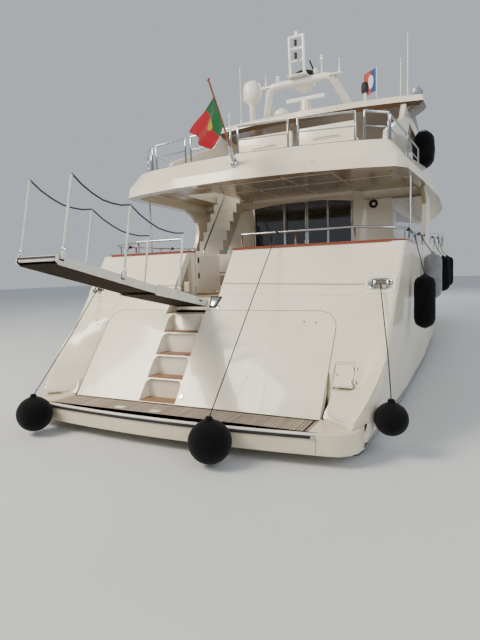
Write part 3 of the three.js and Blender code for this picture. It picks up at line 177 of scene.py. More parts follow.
@dataclass(frozen=True)
class Finish:
    """A surface finish, with its colour, its shader values and the pattern that varies it."""

    name: str
    colour: str
    shade: str
    roughness: float
    slot: Slot = Slot.GELCOAT
    metallic: float = 0.0
    coat: float = 0.0
    sheen: float = 0.0
    specular: float = 0.5
    mottle_mm: float = 600.0
    grain_mm: float = 4.0
    relief_mm: float = 0.2
    # noise values at the rim and in the middle of a cloud
    cloud: Flat = (0.35, 0.72)

    def material(self) -> bpy.types.Material:
        """Builds the material, once.

        Returns:
            The material of this finish.
        """
        found = bpy.data.materials.get(self.name)
        if found:
            return found
        made = bpy.data.materials.new(self.name)
        made.use_nodes = True
        made.diffuse_color = linear(self.colour)
        tree = made.node_tree
        shader = tree.nodes["Principled BSDF"]
        for socket, value in (
            ("Roughness", self.roughness), ("Metallic", self.metallic), ("Specular IOR Level", self.specular),
            ("Coat Weight", self.coat), ("Coat Roughness", COAT_ROUGHNESS), ("Sheen Weight", self.sheen),
        ):
            shader.inputs[socket].default_value = value
        colour, height = self.pattern(tree, self.place(tree))
        relief = {"Strength": 1.0, "Distance": self.relief_mm * MM, "Height": height}
        tree.links.new(colour, shader.inputs["Base Color"])
        tree.links.new(add_node(tree, "Bump", None, relief, "Normal"), shader.inputs["Normal"])
        return made

    def place(self, tree: Tree) -> Socket:
        """Gives the coordinates that the pattern is laid out in."""
        return add_node(tree, "TexCoord", None, {}, "Object")

    def mottled(self, tree: Tree, place: Socket, first: Any, second: Any, spread: float = 1.0) -> Socket:
        """Clouds one colour with another at the finish's mottling size.

        Args:
            tree: The material's tree.
            place: Coordinates of the pattern.
            first: Main colour, as a value or an output.
            second: Colour of the clouds.
            spread: Share of the second colour at the clouds' middle.

        Returns:
            The clouded colour.
        """
        size = {"Vector": place, "Scale": 1 / (self.mottle_mm * MM), "Detail": 5.0}
        noise = add_node(tree, "TexNoise", None, size, "Fac")
        limits = {"From Min": self.cloud[0], "From Max": self.cloud[1], "To Min": 0.0, "To Max": spread}
        amount = add_node(tree, "MapRange", None, {"Value": noise, **limits}, "Result")
        return add_node(tree, "Mix", COLOURS, {FACTOR: amount, FIRST: first, SECOND: second}, MIXED)

    def pattern(self, tree: Tree, place: Socket) -> tuple[Socket, Socket]:
        """Lays clouds of shade and a fine grain over the surface.

        Args:
            tree: The material's tree.
            place: Coordinates of the pattern.

        Returns:
            The colour and the height of the relief.
        """
        size = {"Vector": place, "Scale": 1 / (self.grain_mm * MM), "Detail": 3.0}
        colour = self.mottled(tree, place, linear(self.colour), linear(self.shade))
        return colour, add_node(tree, "TexNoise", None, size, "Fac")


@dataclass(frozen=True)
class HullCoat(Finish):
    """Gelcoat with the boot-top, the antifouling below it and anti-slip on flat decks."""

    deck: str = "#d3cdbd"
    # height of each painted band's top, and its paint
    bands: tuple[tuple[float, str], ...] = ((0.2, "#17181b"), (0.115, "#d8d6cf"), (0.085, "#1b1a1d"))
    growth: str = "#2a2a2c"
    growth_share: float = 0.3
    flat_from: float = 0.97
    deck_from_z: float = 1.9
    tread_mm: float = 9.0

    def pattern(self, tree: Tree, place: Socket) -> tuple[Socket, Socket]:
        """Adds the painted bands under their heights and the deck's texture where it faces up.

        Args:
            tree: The material's tree.
            place: Coordinates of the pattern.

        Returns:
            The colour and the height of the relief.
        """
        colour = self.mottled(tree, place, linear(self.colour), linear(self.shade))
        normal = add_node(tree, "NewGeometry", None, {}, "True Normal")
        height, up = (add_node(tree, "SeparateXYZ", None, {0: of}, "Z") for of in (place, normal))
        flat, high = (
            add_node(tree, "Math", {"operation": "GREATER_THAN"}, {0: value, 1: least})
            for value, least in ((up, self.flat_from), (height, self.deck_from_z))
        )
        deck = add_node(tree, "Math", {"operation": "MULTIPLY"}, {0: flat, 1: high})
        sanded = {FACTOR: deck, FIRST: colour, SECOND: linear(self.deck)}
        colour = add_node(tree, "Mix", COLOURS, sanded, MIXED)
        for top, paint in self.bands:
            below = add_node(tree, "Math", {"operation": "LESS_THAN"}, {0: height, 1: top})
            painted = self.mottled(tree, place, linear(paint), linear(self.growth), self.growth_share)
            colour = add_node(tree, "Mix", COLOURS, {FACTOR: below, FIRST: colour, SECOND: painted}, MIXED)
        size = {"Vector": place, "Scale": 1 / (self.tread_mm * MM)}
        tread = add_node(tree, "TexVoronoi", None, size, "Distance")
        return colour, add_node(tree, "Math", {"operation": "MULTIPLY"}, {0: tread, 1: deck})


@dataclass(frozen=True)
class PlankedTeak(Finish):
    """Sawn teak planks with black caulking, weathered to grey-brown."""

    across: Axis = Axis.X
    plank_mm: float = 55.0
    seam_mm: float = 7.0
    seam: str = "#3a322a"
    # lines of grain in a metre across and along the planks
    grain_across: float = 60.0
    grain_along: float = 4.0
    tone_share: float = 0.5
    tones: Flat = (0.45, 1.05)

    def pattern(self, tree: Tree, place: Socket) -> tuple[Socket, Socket]:
        """Divides the surface into planks, each with a tone of its own and grain along it.

        Args:
            tree: The material's tree.
            place: Coordinates of the pattern.

        Returns:
            The colour and the height of the relief.
        """
        side = add_node(tree, "SeparateXYZ", None, {0: place}, self.across.value)
        scaled = add_node(tree, "Math", {"operation": "DIVIDE"}, {0: side, 1: self.plank_mm * MM})
        number, share = (
            add_node(tree, "Math", {"operation": kind}, {0: scaled}) for kind in ("FLOOR", "FRACT")
        )
        seam_share = self.seam_mm / self.plank_mm
        wood = add_node(tree, "Math", {"operation": "GREATER_THAN"}, {0: share, 1: seam_share})
        tone = add_node(tree, "TexWhiteNoise", {"noise_dimensions": "1D"}, {"W": number}, "Value")
        stretch = [self.grain_across] * 3
        stretch[1 if self.across is Axis.X else 0] = self.grain_along
        drawn = add_node(tree, "Mapping", None, {"Vector": place, "Scale": stretch})
        grain = add_node(tree, "TexNoise", None, {"Vector": drawn, "Scale": 1.0, "Detail": 6.0}, "Fac")
        parts = {0: tone, 1: self.tone_share, 2: grain}
        mixed = add_node(tree, "Math", {"operation": "MULTIPLY_ADD"}, parts)
        limits = {"Value": mixed, "From Min": self.tones[0], "From Max": self.tones[1]}
        amount = add_node(tree, "MapRange", None, limits, "Result")
        stain = {FACTOR: amount, FIRST: linear(self.colour), SECOND: linear(self.shade)}
        planks = add_node(tree, "Mix", COLOURS, stain, MIXED)
        caulked = {FACTOR: wood, FIRST: linear(self.seam), SECOND: planks}
        return add_node(tree, "Mix", COLOURS, caulked, MIXED), wood


@dataclass(frozen=True)
class TwoFaced(Finish):
    """A finish with painted shade in another colour, on its underside or between two planes across the boat."""

    # colours of the painted shade, how far down a face must point to get it, and the planes that bound it
    # instead
    under: str = "#9c8a6e"
    under_shade: str = "#85745b"
    faces_down: float = -0.5
    between: Flat | None = None

    def pattern(self, tree: Tree, place: Socket) -> tuple[Socket, Socket]:
        """Paints shade in the second colour on what faces down, or on what lies between the planes.

        Args:
            tree: The material's tree.
            place: Coordinates of the pattern.

        Returns:
            The colour and the height of the relief.
        """
        top, grain = Finish.pattern(self, tree, place)
        # the painted shade, clouded like the top
        lining = self.mottled(tree, place, linear(self.under), linear(self.under_shade))
        if self.between:
            across = add_node(tree, "SeparateXYZ", None, {0: place}, "X")
            past, short = (
                add_node(tree, "Math", {"operation": test}, {0: across, 1: plane})
                for test, plane in zip(("GREATER_THAN", "LESS_THAN"), self.between)
            )
            mask = add_node(tree, "Math", {"operation": "MULTIPLY"}, {0: past, 1: short})
        else:
            normal = add_node(tree, "NewGeometry", None, {}, "True Normal")
            rise = add_node(tree, "SeparateXYZ", None, {0: normal}, "Z")
            mask = add_node(tree, "Math", {"operation": "LESS_THAN"}, {0: rise, 1: self.faces_down})
        return add_node(tree, "Mix", COLOURS, {FACTOR: mask, FIRST: top, SECOND: lining}, MIXED), grain


@dataclass(frozen=True)
class Striped(Finish):
    """A finish whose two tones follow one another in wavering stripes."""

    stripe: Axis = Axis.SLANT
    stripe_scale: float = 9.0
    waver: float = 7.0
    detail: float = 3.0
    detail_scale: float = 2.0

    def pattern(self, tree: Tree, place: Socket) -> tuple[Socket, Socket]:
        """Draws the stripes, which also stand up as the relief.

        Args:
            tree: The material's tree.
            place: Coordinates of the pattern.

        Returns:
            The colour and the height of the relief.
        """
        settings = {"wave_type": "BANDS", "bands_direction": self.stripe.value}
        size = {"Vector": place, "Scale": self.stripe_scale, "Distortion": self.waver}
        inner = {"Detail": self.detail, "Detail Scale": self.detail_scale}
        stripes = add_node(tree, "TexWave", settings, {**size, **inner}, "Fac")
        tones = {FACTOR: stripes, FIRST: linear(self.colour), SECOND: linear(self.shade)}
        return add_node(tree, "Mix", COLOURS, tones, MIXED), stripes


@dataclass(frozen=True)
class KnitCover(Finish):
    """Knitted or woven cloth with rows that show: fender sleeves and deck-chair slings."""

    wale_mm: float = 16.0
    waver: float = 0.6

    def pattern(self, tree: Tree, place: Socket) -> tuple[Socket, Socket]:
        """Crosses wales and courses of stitches; drawn coarser than the real 4 mm so that they show.

        Args:
            tree: The material's tree.
            place: Coordinates of the pattern.

        Returns:
            The colour and the height of the relief.
        """
        colour = self.mottled(tree, place, linear(self.colour), linear(self.shade))
        size = {"Vector": place, "Scale": WAVE / (self.wale_mm * MM), "Distortion": self.waver}
        wales, courses = (
            add_node(tree, "TexWave", {"wave_type": "BANDS", "bands_direction": side.value}, size, "Fac")
            for side in (Axis.Y, Axis.Z)
        )
        return colour, add_node(tree, "Math", {"operation": "MULTIPLY"}, {0: wales, 1: courses})


@dataclass(frozen=True)
class Bunting(Finish):
    """Woven polyester flag cloth with dyed fields, laid out on the cloth's own map."""

    fly: str = "#a5131f"
    disc: str = "#c9a52a"
    field_share: float = 0.4
    disc_radius: float = 0.17
    # width of the cloth for a height of one
    width: float = 1.6
    threads: float = 60.0

    def place(self, tree: Tree) -> Socket:
        """Gives the cloth's own map."""
        return add_node(tree, "TexCoord", None, {}, "UV")

    def pattern(self, tree: Tree, place: Socket) -> tuple[Socket, Socket]:
        """Dyes the hoist, the fly and a plain disc on their border.

        Args:
            tree: The material's tree.
            place: Coordinates of the pattern.

        Returns:
            The colour and the height of the relief.
        """
        across = add_node(tree, "SeparateXYZ", None, {0: place}, "X")
        fly = add_node(tree, "Math", {"operation": "GREATER_THAN"}, {0: across, 1: self.field_share})
        middle, stretch = (-self.field_share * self.width, -0.5, 0.0), (self.width, 1.0, 1.0)
        centred = {"Vector": place, "Location": middle, "Scale": stretch}
        round_disc = add_node(tree, "Mapping", None, centred)
        reach = add_node(tree, "VectorMath", {"operation": "LENGTH"}, {0: round_disc}, "Value")
        disc = add_node(tree, "Math", {"operation": "LESS_THAN"}, {0: reach, 1: self.disc_radius})
        colour = linear(self.colour)
        for mask, dye in ((fly, self.fly), (disc, self.disc)):
            colour = add_node(tree, "Mix", COLOURS, {FACTOR: mask, FIRST: colour, SECOND: linear(dye)}, MIXED)
        size = {"Vector": place, "Scale": self.threads}
        return colour, add_node(tree, "TexWave", {"bands_direction": "DIAGONAL"}, size, "Fac")


# Gelcoat: sprayed into a polished mould, so it is glossy, creamy and very slightly uneven.
CREAM = {"coat": 0.4, "mottle_mm": 1500, "grain_mm": 260, "relief_mm": 0.5}
GELCOAT = Finish("cream_gelcoat", "#ece4d0", "#e2d9c3", 0.24, **CREAM)
HULL = HullCoat("hull_gelcoat", "#e9e1ce", "#ddd3bd", 0.26, coat=0.4, mottle_mm=1300, relief_mm=0.6)
FASCIA = Finish("platform_gelcoat", "#d9cfb6", "#c9bda2", 0.3, coat=0.3, mottle_mm=500, grain_mm=180,
                relief_mm=0.4)
SOFFIT = Finish("header_panel", "#d9ccb2", "#cbbb9c", 0.35, coat=0.2, mottle_mm=700, grain_mm=14, relief_mm=0.2)
# Decks overhead: gelcoat above, and below it glossy lining panels coloured with painted shade: tan-brown with a
# painted reflection of the deck's browns under the upper deck, dark brown under the hardtop.
DECKHEAD = TwoFaced("deckhead_gelcoat", "#ece4d0", "#e2d9c3", 0.24, under="#a8977c",
                    under_shade="#8f7d63", **CREAM)
HARDTOP = TwoFaced("hardtop_gelcoat", "#ece4d0", "#e2d9c3", 0.24, under="#4a3526",
                   under_shade="#5b4331", **CREAM)
# White two-pack paint on aluminium, with a soft gloss: masts, domes and the passerelle's boards.
WHITE = Finish("white_enamel", "#efeee9", "#e2e0d8", 0.3, coat=0.3, mottle_mm=300, grain_mm=30, relief_mm=0.1)
# The passerelle's enamel; between two planes across it, its inside is painted dark brown as shade.
PLANK_ENAMEL_AND_SHADE = TwoFaced("plank_enamel_and_shade", "#d3d2ca", "#bfbfb8", 0.38, coat=0.15, mottle_mm=220, grain_mm=12,
                       relief_mm=0.2, under="#1f150e", under_shade="#2b1e14", between=(-0.905, -0.245))
# Bare teak: silvered by sun and salt water on deck, and under the passerelle darkened to near black as painted
# shade.
DECK_TEAK = PlankedTeak("weathered_teak", "#8d7a63", "#a99478", 0.75, Slot.TEAK, relief_mm=1.5)
SLAT_TEAK = PlankedTeak("slat_teak", "#8d8070", "#aa9d8a", 0.75, Slot.TEAK, seam_mm=0.1, relief_mm=0.4)
UNDER_TEAK = PlankedTeak("shaded_teak", "#1a110b", "#281b12", 0.8, Slot.TEAK, specular=0.2, relief_mm=0.3,
                         across=Axis.Y, plank_mm=58, seam_mm=0.1)
# Teak worn pale and brown where feet step on it, its figure running along the boat.
TREAD_TEAK = Striped("worn_tread_teak", "#7b5840", "#946f54", 0.6, Slot.VARNISH, relief_mm=0.2)
# The same wood under many coats of varnish: red-brown and as glossy as glass.
VARNISH = Striped("varnished_teak", "#6d2c12", "#94431d", 0.28, Slot.VARNISH, coat=1.0, relief_mm=0.1)
# Stainless steel polished to a mirror, and alloy gone dull in salt air.
STEEL = Finish("polished_stainless", "#c6cacd", "#b4b9bd", 0.16, Slot.STEEL, metallic=1.0, mottle_mm=150,
               grain_mm=8, relief_mm=0.05)
DULL_STEEL = Finish("weathered_alloy", "#aab0b4", "#90979c", 0.35, Slot.STEEL, metallic=0.9, mottle_mm=120,
                    relief_mm=0.1)
# Tinted glass with the dark saloon behind it: near black, with long soft reflections.
GLASS = Finish("tinted_glass", "#0a0c10", "#11141a", 0.04, Slot.GLASS, coat=1.0, mottle_mm=900, grain_mm=700,
               relief_mm=0.6)
# Extruded rubber and plastic, matt black; sealant beads, matt grey, and the same grey painted as the shadow
# line under the transom's lips.
RUBBER = Finish("black_rubber", "#141416", "#1f1f21", 0.6, Slot.COVER, mottle_mm=200, grain_mm=5, relief_mm=0.3)
SEALANT_AND_SHADOW = Finish("grey_sealant_and_shadow", "#6f6a60", "#5d594f", 0.6, Slot.COVER, mottle_mm=180, grain_mm=6)
# Stretch-knit acrylic over an inflated fender: drinks the light, with a little fuzz at its rim.
COVER = KnitCover("knit_cover", "#050507", "#0b0c0f", 0.95, Slot.COVER, sheen=0.06, specular=0.15,
                  mottle_mm=160, relief_mm=1.6)
GREY_COVER = KnitCover("grey_knit_cover", "#6b6c70", "#7c7d80", 0.95, Slot.COVER, sheen=0.3, mottle_mm=160,
                       relief_mm=1.6)
# Padded vinyl of the seats: pale and softly shining, with a fine leather grain.
LEATHER = Finish("marine_vinyl", "#dcd5c4", "#cfc6b2", 0.55, Slot.CUSHION, sheen=0.1, mottle_mm=260, grain_mm=5,
                 relief_mm=0.5)
# Woven polyester of a deck chair's seat and back: matt white, its weave just to be seen.
SLING = KnitCover("woven_sling", "#e4e1d8", "#d3cfc3", 0.8, Slot.CUSHION, sheen=0.1, mottle_mm=200,
                  relief_mm=0.5, wale_mm=8)
# Braided polyester rope, navy gone grey, its strands crossing at a slant.
ROPE = Striped("dark_braid", "#23252d", "#3b3e48", 0.85, Slot.ROPE, relief_mm=1.5,
               stripe_scale=WAVE / (14 * MM), waver=1.0, detail=2.0, detail_scale=1.0)
# Propellers and rudders of cast bronze: brown-gold, polished by the water.
BRONZE = Finish("cast_bronze", "#8c6a36", "#a07c43", 0.34, Slot.STEEL, metallic=1.0, mottle_mm=90, grain_mm=6,
                relief_mm=0.4)
# Engines in sprayed grey enamel, half gloss.
IRON = Finish("engine_enamel", "#8b9196", "#777d82", 0.5, Slot.METAL, coat=0.2, mottle_mm=200, grain_mm=9,
              relief_mm=0.6)
# Light polyester bunting: strong flat dyes, with the weave's faint sheen.
ENSIGN = Bunting("ensign_bunting", "#0a6b35", "#0a6b35", 0.8, Slot.FLAG, sheen=0.15, relief_mm=0.4,
                 fly="#c01020", disc="#e0b51e")
COURTESY = Bunting("courtesy_bunting", "#2c4f8c", "#2c4f8c", 0.8, Slot.FLAG, sheen=0.3, relief_mm=0.4,
                   fly="#b8463c", disc="#e6e4de", disc_radius=0.3)
# Matt black of a hole or a gap that nothing lights.
SHADOW = Finish("shadow_black", "#0c0c0d", "#141415", 0.8, Slot.COVER, mottle_mm=200)
# The studio's floor: a plain pale grey that takes soft shadows.
FLOOR = Finish("pale_floor", "#c9ccce", "#c4c7c9", 0.7, mottle_mm=4000)


# ---- modelling tools ------------------------------------------------------------------------------


def framed(*columns: Vector) -> Matrix:
    """Makes the matrix whose columns are three axes and an origin."""
    matrix = Matrix.Identity(4)
    for number, column in enumerate(columns):
        matrix.col[number][:3] = column
    return matrix


def rounded_rectangle(half_width: float, half_height: float, radius: float, steps: int = 5) -> list[Flat]:
    """Gives the outline of a rectangle with rounded corners about the origin.

    Args:
        half_width: Half its width.
        half_height: Half its height.
        radius: Radius of its corners.
        steps: Steps in each corner.

    Returns:
        The outline's points.
    """
    points = []
    for quarter, (sx, sy) in enumerate(((1, 1), (-1, 1), (-1, -1), (1, -1))):
        x, y = sx * (half_width - radius), sy * (half_height - radius)
        for i in range(steps + 1):
            angle = math.pi / 2 * (quarter + i / steps)
            points.append((x + radius * math.cos(angle), y + radius * math.sin(angle)))
    return points


def only(*objects: Piece) -> Piece:
    """Selects these objects alone and makes the first one active."""
    bpy.ops.object.select_all(action="DESELECT")
    for each in objects:
        each.select_set(True)
    bpy.context.view_layer.objects.active = objects[0]
    return objects[0]


def edit(made: Piece, *steps: Callable[[], Any]) -> Piece:
    """Runs edit-mode steps on everything in one object.

    Args:
        made: The object to edit.
        steps: Calls to make in edit mode, in order.

    Returns:
        The same object.
    """
    only(made)
    bpy.ops.object.mode_set(mode="EDIT")
    bpy.ops.mesh.select_all(action="SELECT")
    for step in steps:
        step()
    bpy.ops.object.mode_set(mode="OBJECT")
    return made


def linked(name: str, data: Any) -> Piece:
    """Makes an object of some data and puts it in the scene."""
    made = bpy.data.objects.new(name, data)
    bpy.context.scene.collection.objects.link(made)
    return made


def settle() -> Piece:
    """Moves the active object's place into its mesh."""
    made = only(bpy.context.object)
    bpy.ops.object.transform_apply(location=True, rotation=True, scale=True)
    return made


def round_edges(made: Piece, width: float, segments: int = 2, sharp: float = 35.0) -> Piece:
    """Bevels the sharp edges and shades the rest smooth.

    Args:
        made: The object to round.
        width: Bevel width in metres.
        segments: Steps across the bevel.
        sharp: Least angle, in degrees, of an edge that is bevelled.

    Returns:
        The same object.
    """
    if width > 0:
        edit(
            made,
            lambda: bpy.ops.mesh.select_all(action="DESELECT"),
            lambda: bpy.ops.mesh.select_mode(type="EDGE"),
            lambda: bpy.ops.mesh.edges_select_sharp(sharpness=math.radians(sharp)),
            lambda: bpy.ops.mesh.bevel(offset=width, segments=segments, affect="EDGES", clamp_overlap=True),
        )
    return smooth(made)


def smooth(made: Piece, angle: float = 35.0) -> Piece:
    """Shades edges under the angle, in degrees, smooth."""
    only(made)
    bpy.ops.object.shade_smooth_by_angle(angle=math.radians(angle))
    return made


def grid(columns: int, rows: int) -> Piece:
    """Makes a flat grid from -1 to 1 each way, to be bent by moving its points."""
    bpy.ops.mesh.primitive_grid_add(x_subdivisions=columns, y_subdivisions=rows, size=2)
    return settle()


def block(low: Coords, high: Coords, bevel: float = 0.0, segments: int = 2) -> Piece:
    """Makes a rounded block.

    Args:
        low: Lowest corner.
        high: Highest corner.
        bevel: Rounding of its edges.
        segments: Steps across the rounding.

    Returns:
        The block.
    """
    low_corner, high_corner = Vector(low), Vector(high)
    bpy.ops.mesh.primitive_cube_add(size=1, location=(low_corner + high_corner) / 2)
    bpy.context.object.scale = high_corner - low_corner
    return round_edges(settle(), bevel, segments)


def drum(
    start: Coords, end: Coords, radius: float, top: float | None = None, sides: int = 24, bevel: float = 0.0
) -> Piece:
    """Makes a round bar or a cone.

    Args:
        start: Middle of its foot.
        end: Middle of its head.
        radius: Radius of the foot.
        top: Radius of the head, or None for the same.
        sides: Facets round it.
        bevel: Rounding of its rims.

    Returns:
        The bar.
    """
    foot, head = Vector(start), Vector(end)
    line = head - foot
    bpy.ops.mesh.primitive_cone_add(
        vertices=sides, radius1=radius, radius2=radius if top is None else top, depth=line.length,
        location=(foot + head) / 2, rotation=line.to_track_quat("Z", "Y").to_euler(),
    )
    return round_edges(settle(), bevel, 2, 40.0)


def dome(centre: Coords, radius: float, height: float, segments: int = 32) -> Piece:
    """Makes a flattened ball.

    Args:
        centre: Its middle.
        radius: Its radius seen from above.
        height: Half its height.
        segments: Facets round it.

    Returns:
        The ball.
    """
    rings = segments // 2
    bpy.ops.mesh.primitive_uv_sphere_add(segments=segments, ring_count=rings, radius=1, location=centre)
    bpy.context.object.scale = (radius, radius, height)
    return smooth(settle(), 60.0)


def pipe(
    points: Sequence[Coords], radius: float, corner: float = 0.0, closed: bool = False, sides: int = 3
) -> Piece:
    """Bends a round tube along points.

    Args:
        points: Corners of its path.
        radius: Radius of the tube.
        corner: Length that each corner's bend takes off the straights.
        closed: Whether the path ends where it starts.
        sides: Steps in a quarter of the tube's section.

    Returns:
        The tube.
    """
    path = rounded(points, corner) if corner else [Vector(p) for p in points]
    curve = bpy.data.curves.new("pipe", "CURVE")
    curve.dimensions = "3D"
    curve.bevel_depth = radius
    curve.bevel_resolution = sides - 1
    curve.use_fill_caps = True
    spline = curve.splines.new("POLY")
    spline.points.add(len(path) - 1)
    for point, at in zip(spline.points, path):
        point.co = (*at, 1.0)
    spline.use_cyclic_u = closed
    only(linked("pipe", curve))
    bpy.ops.object.convert(target="MESH")
    return smooth(bpy.context.object, 60.0)


def rounded(points: Sequence[Coords], corner: float, steps: int = 5) -> list[Vector]:
    """Cuts the inner corners of a path with short curves.

    Args:
        points: Corners of the path.
        corner: Length that a bend takes off each straight.
        steps: Steps in each bend.

    Returns:
        The points of the rounded path.
    """
    path = [Vector(p) for p in points]
    result = [path[0]]
    for before, at, after in zip(path, path[1:], path[2:]):
        start = at + (before - at).normalized() * corner
        end = at + (after - at).normalized() * corner
        for t in (i / steps for i in range(steps + 1)):
            result.append(start * (1 - t) ** 2 + at * 2 * t * (1 - t) + end * t**2)
    return [*result, path[-1]]


def placed(made: Piece, place: Matrix | Coords) -> Piece:
    """Moves an object's mesh by a matrix, or to a point."""
    made.data.transform(place if isinstance(place, Matrix) else Matrix.Translation(place))
    return made


def slab(outline: Sequence[Flat], depth: float, place: Matrix | Coords, bevel: float = 0.0) -> Piece:
    """Raises a flat outline into a plate.

    Args:
        outline: Corners of the outline, in the plate's own plane.
        depth: Height to raise it to.
        place: The plate's place, or the matrix from its own frame to the boat's.
        bevel: Rounding of its edges.

    Returns:
        The plate.
    """
    bpy.ops.mesh.primitive_circle_add(vertices=len(outline), radius=1, fill_type="NGON")
    made = settle()
    for vertex, (u, v) in zip(made.data.vertices, outline):
        vertex.co = (u, v, 0.0)
    edit(
        made,
        lambda: bpy.ops.mesh.extrude_region_move(TRANSFORM_OT_translate={"value": (0, 0, depth)}),
        lambda: bpy.ops.mesh.select_all(action="SELECT"),
        lambda: bpy.ops.mesh.normals_make_consistent(inside=False),
    )
    return placed(round_edges(made, bevel), place)


def turned(profile: Sequence[Flat], place: Matrix | Coords, steps: int = 32, angle: float = 40.0) -> Piece:
    """Spins a profile about its own upright axis.

    Args:
        profile: Radius and height of each point, from axis to axis.
        place: The solid's place, or the matrix from its own frame to the boat's.
        steps: Facets round it.
        angle: Greatest angle, in degrees, that is shaded smooth.

    Returns:
        The turned solid.
    """
    mesh = bpy.data.meshes.new("turned")
    mesh.from_pydata([(r, 0.0, z) for r, z in profile], [(i, i + 1) for i in range(len(profile) - 1)], [])
    made = edit(
        linked("turned", mesh),
        lambda: bpy.ops.mesh.spin(steps=steps, angle=math.tau, center=(0, 0, 0), axis=(0, 0, 1)),
        lambda: bpy.ops.mesh.select_all(action="SELECT"),
        lambda: bpy.ops.mesh.remove_doubles(threshold=1e-5),
        lambda: bpy.ops.mesh.normals_make_consistent(inside=False),
    )
    return smooth(placed(made, place), angle)


def onto(tree: BVHTree, start: Coords, ahead: Coords) -> tuple[Vector, Vector]:
    """Finds where a straight line first meets a solid.

    Args:
        tree: The solid's faces.
        start: Point that the line starts from.
        ahead: Its direction.

    Returns:
        The point on the surface and the surface's normal, or the start where nothing is met.
    """
    direction = Vector(ahead).normalized()
    spot, out, _, _ = tree.ray_cast(Vector(start), direction)
    return (spot, out) if spot else (Vector(start), -direction)


def facing(spot: Vector, out: Vector) -> Matrix:
    """Gives the frame of a fitting that stands on a surface, its own Z along the normal."""
    return Matrix.Translation(spot) @ out.to_track_quat("Z", "Y").to_matrix().to_4x4()


def merged(name: str, pieces: Sequence[Piece]) -> Piece:
    """Joins separate pieces into one object and names it."""
    made = only(*pieces)
    if len(pieces) > 1:
        bpy.ops.object.join()
    made.name = made.data.name = name
    return made


def modify(made: Piece, kind: str, **settings: Any) -> Piece:
    """Adds one modifier with its settings and applies it.

    Args:
        made: The object that gets it.
        kind: The modifier's type name.
        settings: Properties of the modifier.

    Returns:
        The same object.
    """
    only(made)
    modifier = made.modifiers.new(kind.lower(), kind)
    for name, value in settings.items():
        setattr(modifier, name, value)
    bpy.ops.object.modifier_apply(modifier=modifier.name)
    return made


def copied(node: Piece, angle: float, bevel: float = 0.0, flatness: float = 0.05) -> Piece:
    """Copies a solid, closes its loose triangles into faces and shades its curves smooth.

    Args:
        node: The solid of the frame.
        angle: Greatest angle, in degrees, that is shaded smooth.
        bevel: Rounding of its sharp edges.
        flatness: Greatest angle, in degrees, between triangles that become one face.

    Returns:
        The copy.
    """
    made = edit(
        linked("copy", node.data.copy()),
        lambda: bpy.ops.mesh.remove_doubles(threshold=2e-5),
        lambda: bpy.ops.mesh.dissolve_limited(angle_limit=math.radians(flatness)),
    )
    if bevel:
        round_edges(made, bevel, 2, 30.0)
    return modify(smooth(made, angle), "WEIGHTED_NORMAL", keep_sharp=True)


@dataclass
class Assembly:
    """A part of the boat that is dressed and hung on the frame."""

    frame: dict[str, Any]

    def fit(
        self, name: str, pieces: Sequence[Piece], finish: Finish, body: Body | str = Body.HULL,
        replaces: Iterable[str] = (), slot: Slot | str | None = None,
    ) -> Piece:
        """Joins pieces into one, and gives it its finish, its body and the solids it stands for.

        Args:
            name: Name of the joined piece.
            pieces: What it is made of.
            finish: Its finish.
            body: Body that it rides on.
            replaces: Solids of the frame that it stands for.
            slot: Slot of the record that it takes its finish from, or None for the finish's own; not used.

        Returns:
            The joined piece.
        """
        made = merged(name, pieces)
        made.data.materials.clear()
        made.data.materials.append(finish.material())
        slot = slot or finish.slot
        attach(made, body.value if isinstance(body, Body) else body)
        for node in replaces:
            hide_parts(node)
        LOG.info("%s: %s, %d faces", name, finish.name, len(made.data.polygons))
        return made

    def remade(self, node: str, finish: Finish, angle: float = 35.0, bevel: float = 0.0) -> None:
        """Stands a smooth copy in for a solid.

        Args:
            node: Name of the solid.
            finish: Finish of the copy.
            angle: Greatest angle, in degrees, that is shaded smooth.
            bevel: Rounding of its sharp edges.
        """
        source = self.frame["nodes"][node]
        slots = {part["node"]: part["material_slot"] for part in self.frame["record"]["subparts"]}
        copy = copied(source, angle, bevel)
        self.fit(f"{node}_form", [copy], finish, source["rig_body"], [node], slots[node])

    def faces(self, node: str) -> BVHTree:
        """Gives a solid's faces in the form that lines are cast at."""
        mesh = self.frame["nodes"][node].data
        return BVHTree.FromPolygons([v.co for v in mesh.vertices], [tuple(p.vertices) for p in mesh.polygons])


# ---- the boat -------------------------------------------------------------------------------------


